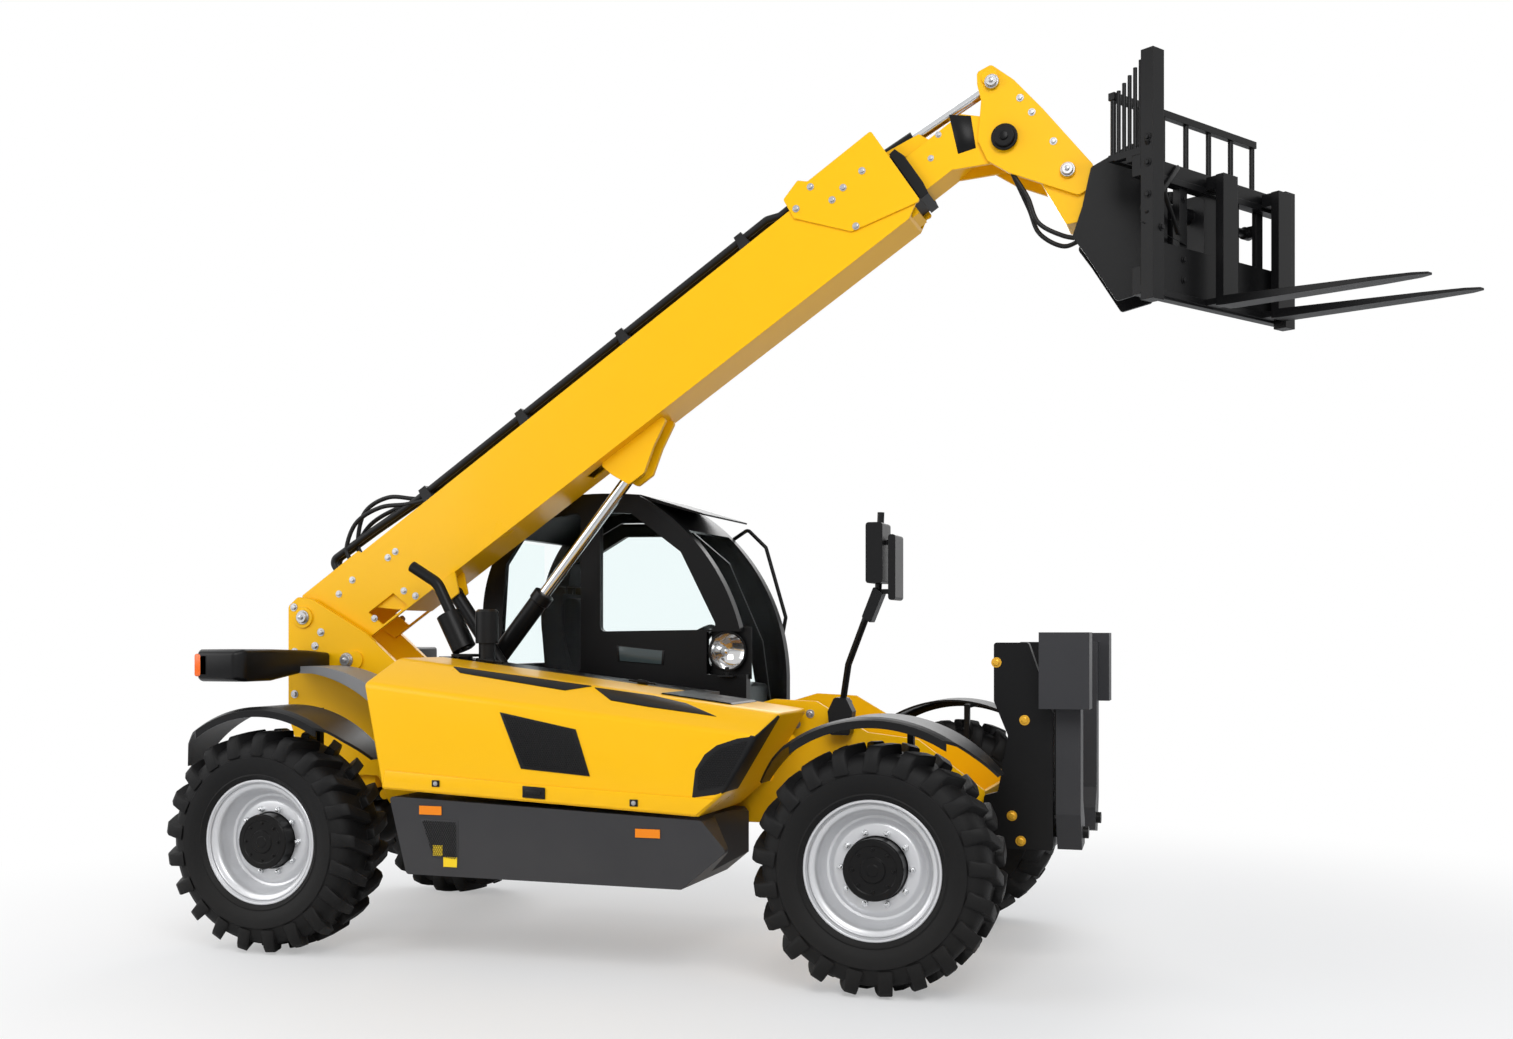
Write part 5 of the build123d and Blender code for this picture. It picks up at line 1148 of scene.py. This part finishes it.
def on_shoulder(x, down, lift):
    """A point over the hood's shoulder by a lift."""
    z = height_on(shoulder_top, x) * (1 - down) + height_on(shoulder_side, x) * down
    return (x + axle_x, crease_y + (wall_y - crease_y) * down - lift * 0.5, z + lift)


stripes = []
for corners in stripe_corners:
    rings = [[on_shoulder(x, down, lift) for x, down in corners] for lift in (stripe_under, stripe_over)]
    stripes.append(rounded(mesh_piece("hood_strip", *swept(rings), [plastic_black]), 0.002))
strip = merged(stripes, "hood_strips")
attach(strip, "hood")
print("stripes:", len(stripe_corners))

# %% [markdown]
# ## On the cab's wall
# Below the side window lies a small lower pane, and behind the headlamp a dark recess.  To cut a
# true opening would mean to take the wall apart, and little can be seen through so small a pane,
# so a grey sheet in a black rim is laid on the wall.

# %% Cab wall
pane_rim_t = 0.004
pane_corners = [(-1.281, 1.618), (-0.981, 1.589), (-0.987, 1.503), (-1.274, 1.524)]
cab_wall_y = land_on("cab_shell", -1.13, 1.56)[0].y
pane = merged([side_plate("pane_rim", pane_corners, cab_wall_y, pane_rim_t, plastic_black, 0.0015),
               side_plate("pane", drawn_in(pane_corners, 0.014), cab_wall_y - pane_rim_t, 0.001, pane_grey,
                          0.0004, 1)], "cab_lower_pane")
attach(pane, "chassis")
recess = side_plate("lamp_recess", box_outline(-0.715, 1.425, -0.470, 1.725), 0.338, 0.004, plastic_black,
                    0.001, 1)
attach(recess, "chassis")
print("cab wall at y", round(cab_wall_y, 3))

# %% [markdown]
# ## Wear plates at the boom's end
# Thin wear plates are fixed on both sides of the inner section, where it leaves the middle one.
# They could be part of the section's paint, but they have an edge that catches the light.  The
# head's cheeks pass 2 mm beside the section, so the plates have to be thinner than that.

# %% Wear plates
inner_plate = [(0.757, 4.400), (0.872, 4.382), (0.899, 4.212), (0.805, 4.190)]
inner_plate_t = 0.0015
inner_parts = []
for side in (-1, 1):
    face_y = land_on("boom_inner", 0.83, 4.29, side)[0].y
    seat_y = face_y if side < 0 else face_y + inner_plate_t
    inner_parts.append(side_plate("inner_plate", inner_plate, seat_y, inner_plate_t, paint_black, 0.0004))
inner_trim = merged(inner_parts, "inner_plates")
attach(inner_trim, "boom_tip")
print("wear plates", inner_plate_t * 1000, "mm thick")

# %% [markdown]
# ## The lift cylinder's gland
# A cylinder closes with a ring round its rod, which wipes the rod clean as it slides in.  The ring
# is turned, as on a lathe.  Its place isn't typed in: it lies at the barrel's far end, on the line
# from the middle of the barrel to that of the rod, so it follows the cylinder.

# %% Gland
def gland(name, rod, barrel, body, bore, outer):
    """A ring round a rod where it enters its barrel; the axis runs between the two nodes' middles."""
    start, axis = middle(barrel), (middle(rod) - middle(barrel)).normalized()
    reach = max((nodes[barrel].matrix_world @ v.co - start).dot(axis) for v in nodes[barrel].data.vertices)
    place = Matrix.Translation(start + axis * reach) @ axis.to_track_quat("Z", "Y").to_matrix().to_4x4()
    outline = [(bore, 0.004), (outer - 0.006, 0.004), (outer, 0.0), (outer, -0.055), (outer - 0.006, -0.06),
               (bore, -0.06)]
    obj = mesh_piece(name, *turned(outline, 40, place), [plastic_black], smooth=True)
    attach(obj, body)
    return obj


gland("lift_gland", "lift_rod", "lift_barrel", "lift_barrel_body", 0.034, 0.062)
print("gland ready")

# %% [markdown]
# ## Ribs on the carriage
# The carriage's side plate is stiffened by welded ribs.  A rib could be a box that is turned into
# place by angles, but two places on the plate say more: a ray seats each end, and the bar is swept
# from its foot, which is sunk a little as a weld is, to its top.

# %% Carriage ribs
rib_width, rib_height, rib_sunk = 0.022, 0.016, 0.002
rib_ends = (((1.80, 4.00), (1.93, 3.62)), ((1.92, 3.94), (1.79, 3.66)), ((1.78, 3.62), (1.96, 3.58)))


def rib(name, body, node, start, end):
    """A stiffening bar on a node's right face between two (x, z) places."""
    (a, out), (b, _) = land_on(node, *start), land_on(node, *end)
    half_across = out.cross((b - a).normalized()).normalized() * rib_width / 2
    corners = [a - half_across, b - half_across, b + half_across, a + half_across]
    rings = [[c + out * height for c in corners] for height in (-rib_sunk, rib_height)]
    bar = rounded(mesh_piece(name, *swept(rings), [paint_black]), 0.003)
    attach(bar, body)
    return bar


for number, (start, end) in enumerate(rib_ends):
    rib(f"carriage_rib_{number + 1}", "carriage", "carriage_frame", start, end)
print("carriage ribs:", len(rib_ends))

# %% [markdown]
# ## Tubes for hoses
# A hydraulic hose is a thick rubber tube that bends in wide, even loops.  A simulated rope would
# hang, and these are too stiff to hang.  So a smooth path is drawn through a few given points,
# and a ring is carried along it without twisting.

# %% Hose helpers
def smooth_path(points, steps=12):
    """A Catmull-Rom path through points."""
    ends = [2 * points[0] - points[1]] + list(points) + [2 * points[-1] - points[-2]]
    path = []
    for p0, p1, p2, p3 in zip(ends, ends[1:], ends[2:], ends[3:]):
        for k in range(steps):
            t = k / steps
            path.append(0.5 * (2 * p1 + (p2 - p0) * t + (2 * p0 - 5 * p1 + 4 * p2 - p3) * t ** 2
                               + (3 * p1 - p0 - 3 * p2 + p3) * t ** 3))
    return path + [points[-1]]


def hose(name, body, points, diameter):
    """A round hose through points, on a body."""
    path = smooth_path([Vector(p) for p in points])
    rings, normal = [], None
    for k, p in enumerate(path):
        tangent = (path[min(k + 1, len(path) - 1)] - path[max(k - 1, 0)]).normalized()
        if normal is None:
            normal = tangent.orthogonal().normalized()
        normal = (normal - tangent * normal.dot(tangent)).normalized()
        other = tangent.cross(normal)
        rings.append([p + normal * x + other * y for x, y in circle(diameter / 2, 12)])
    obj = mesh_piece(name, *swept(rings), [hose_rubber], smooth=True)
    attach(obj, body)
    return obj


print("hose helpers ready")

# %% [markdown]
# ## The hoses
# Three hoses loop out of the boom's rear end and two hang below its head.  The points of the rear
# loops are measured along the parked boom and square to it, which is easier to judge than x and z
# on a slope.  Each hose is seated at both ends.

# %% Hoses
boom_tilt = math.radians(34.3)
boom_top = 0.114                # from the pivot's line square up to the boom's top
boom_hose_t, head_hose_t = 0.026, 0.024


def from_pivot(along, square, y):
    """A point measured along the parked boom from its pivot, and square to it."""
    x, z = pivot_spot
    return Vector((x + along * math.cos(boom_tilt) - square * math.sin(boom_tilt), y,
                   z + along * math.sin(boom_tilt) + square * math.cos(boom_tilt)))


# y, where the loop starts along the boom, how high it peaks
rear_loops = ((-0.105, 0.40, 0.300), (-0.062, 0.46, 0.335), (-0.018, 0.43, 0.270))
for number, (y, start, peak) in enumerate(rear_loops):
    hose(f"boom_hose_{number + 1}", "boom_base",
         [from_pivot(start, boom_top, y), from_pivot(start + 0.02, boom_top + 0.10, y),
          from_pivot(start + 0.16, peak, y), from_pivot(start + 0.34, peak - 0.02, y),
          from_pivot(start + 0.50, 0.19, y), from_pivot(start + 0.66, boom_top + 0.006, y)], boom_hose_t)
# y, how much lower than the first it hangs
head_loops = ((-0.100, 0.0), (-0.055, 0.045))
for number, (y, lower) in enumerate(head_loops):
    hose(f"head_hose_{number + 1}", "head",
         [touch("boom_head", (1.09, y, 4.060)), (1.165, y, 3.935 - lower), (1.22, y, 3.800 - lower),
          (1.34, y, 3.725 - lower), touch("hitch", (1.45, y, 3.690))], head_hose_t)

# %% [markdown]
# ## Stuffed pads
# An upholstered pad crowns in the middle and pulls in at its corners.  That could be sculpted, but
# stuffing does it by itself: a block is remeshed, blown up a little as cloth, and kept as a plain
# mesh.  A limit on how far a point may move keeps the pad from swelling into its neighbours.

# %% Pad helpers
pad_voxel, pad_reach = 0.012, 0.012
stuff_pressure, stuff_frames = 4, 20


def stuff(pad):
    """Blows a pad up a little as cloth; no point moves further than the reach."""
    remesh = pad.modifiers.new("even", "REMESH")
    remesh.mode, remesh.voxel_size = "VOXEL", pad_voxel
    apply_modifiers(pad)
    before = [v.co.copy() for v in pad.data.vertices]
    cloth = pad.modifiers.new("stuffing", "CLOTH")
    cloth.settings.use_pressure = True
    cloth.settings.uniform_pressure_force = stuff_pressure
    cloth.settings.effector_weights.gravity = 0
    for step in range(1, stuff_frames + 1):
        bpy.context.scene.frame_set(step)
    apply_modifiers(pad)
    bpy.context.scene.frame_set(1)
    for vertex, start in zip(pad.data.vertices, before):
        move = vertex.co - start
        if move.length > pad_reach:
            vertex.co = start + move.normalized() * pad_reach
    finer = pad.modifiers.new("finer", "SUBSURF")
    finer.levels = finer.render_levels = 1
    apply_modifiers(pad)


def cushion(name, low, high, tilt):
    """A stuffed pad between two corners, leaned back by tilt degrees about its lower rear edge."""
    pad = mesh_piece(name, *prism(box_outline(*low[:2], *high[:2]), low[2], high[2]), [seat_cloth])
    rounded(pad, 0.03, 4)
    stuff(pad)
    hinge = Vector((low[0], 0, low[2]))
    pad.data.transform(Matrix.Translation(hinge) @ Matrix.Rotation(math.radians(-tilt), 4, "Y")
                       @ Matrix.Translation(-hinge))
    pad.data.shade_smooth()
    return pad


print("pad helpers ready")

# %% [markdown]
# ## The seat
# The operator's seat has a cushion, a leaning back and a headrest.  One stuffed form would have no
# seams between them, so each is a pad of its own.  They lie over the CAD seat, which stays beneath
# as the shell that carries them.

# %% Seat
seat_low, seat_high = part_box("seat")
seat_x, seat_z, seat_top = seat_low[0], seat_low[2], seat_high[2]
seat_y0, seat_y1 = seat_low[1] + 0.02, seat_high[1] - 0.02
pads = [
    cushion("seat_cushion", (seat_x + 0.06, seat_y0, seat_z + 0.004),
            (seat_high[0] - 0.015, seat_y1, seat_z + 0.112), 0),
    cushion("seat_back", (seat_x + 0.035, seat_y0 + 0.01, seat_z + 0.105),
            (seat_x + 0.145, seat_y1 - 0.01, seat_z + 0.79), -6),
    cushion("seat_headrest", (seat_x + 0.035, seat_y0 + 0.11, seat_top - 0.155),
            (seat_x + 0.12, seat_y1 - 0.11, seat_top - 0.012), 0),
]
for pad in pads:
    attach(pad, "chassis")
print("seat pads:", len(pads))
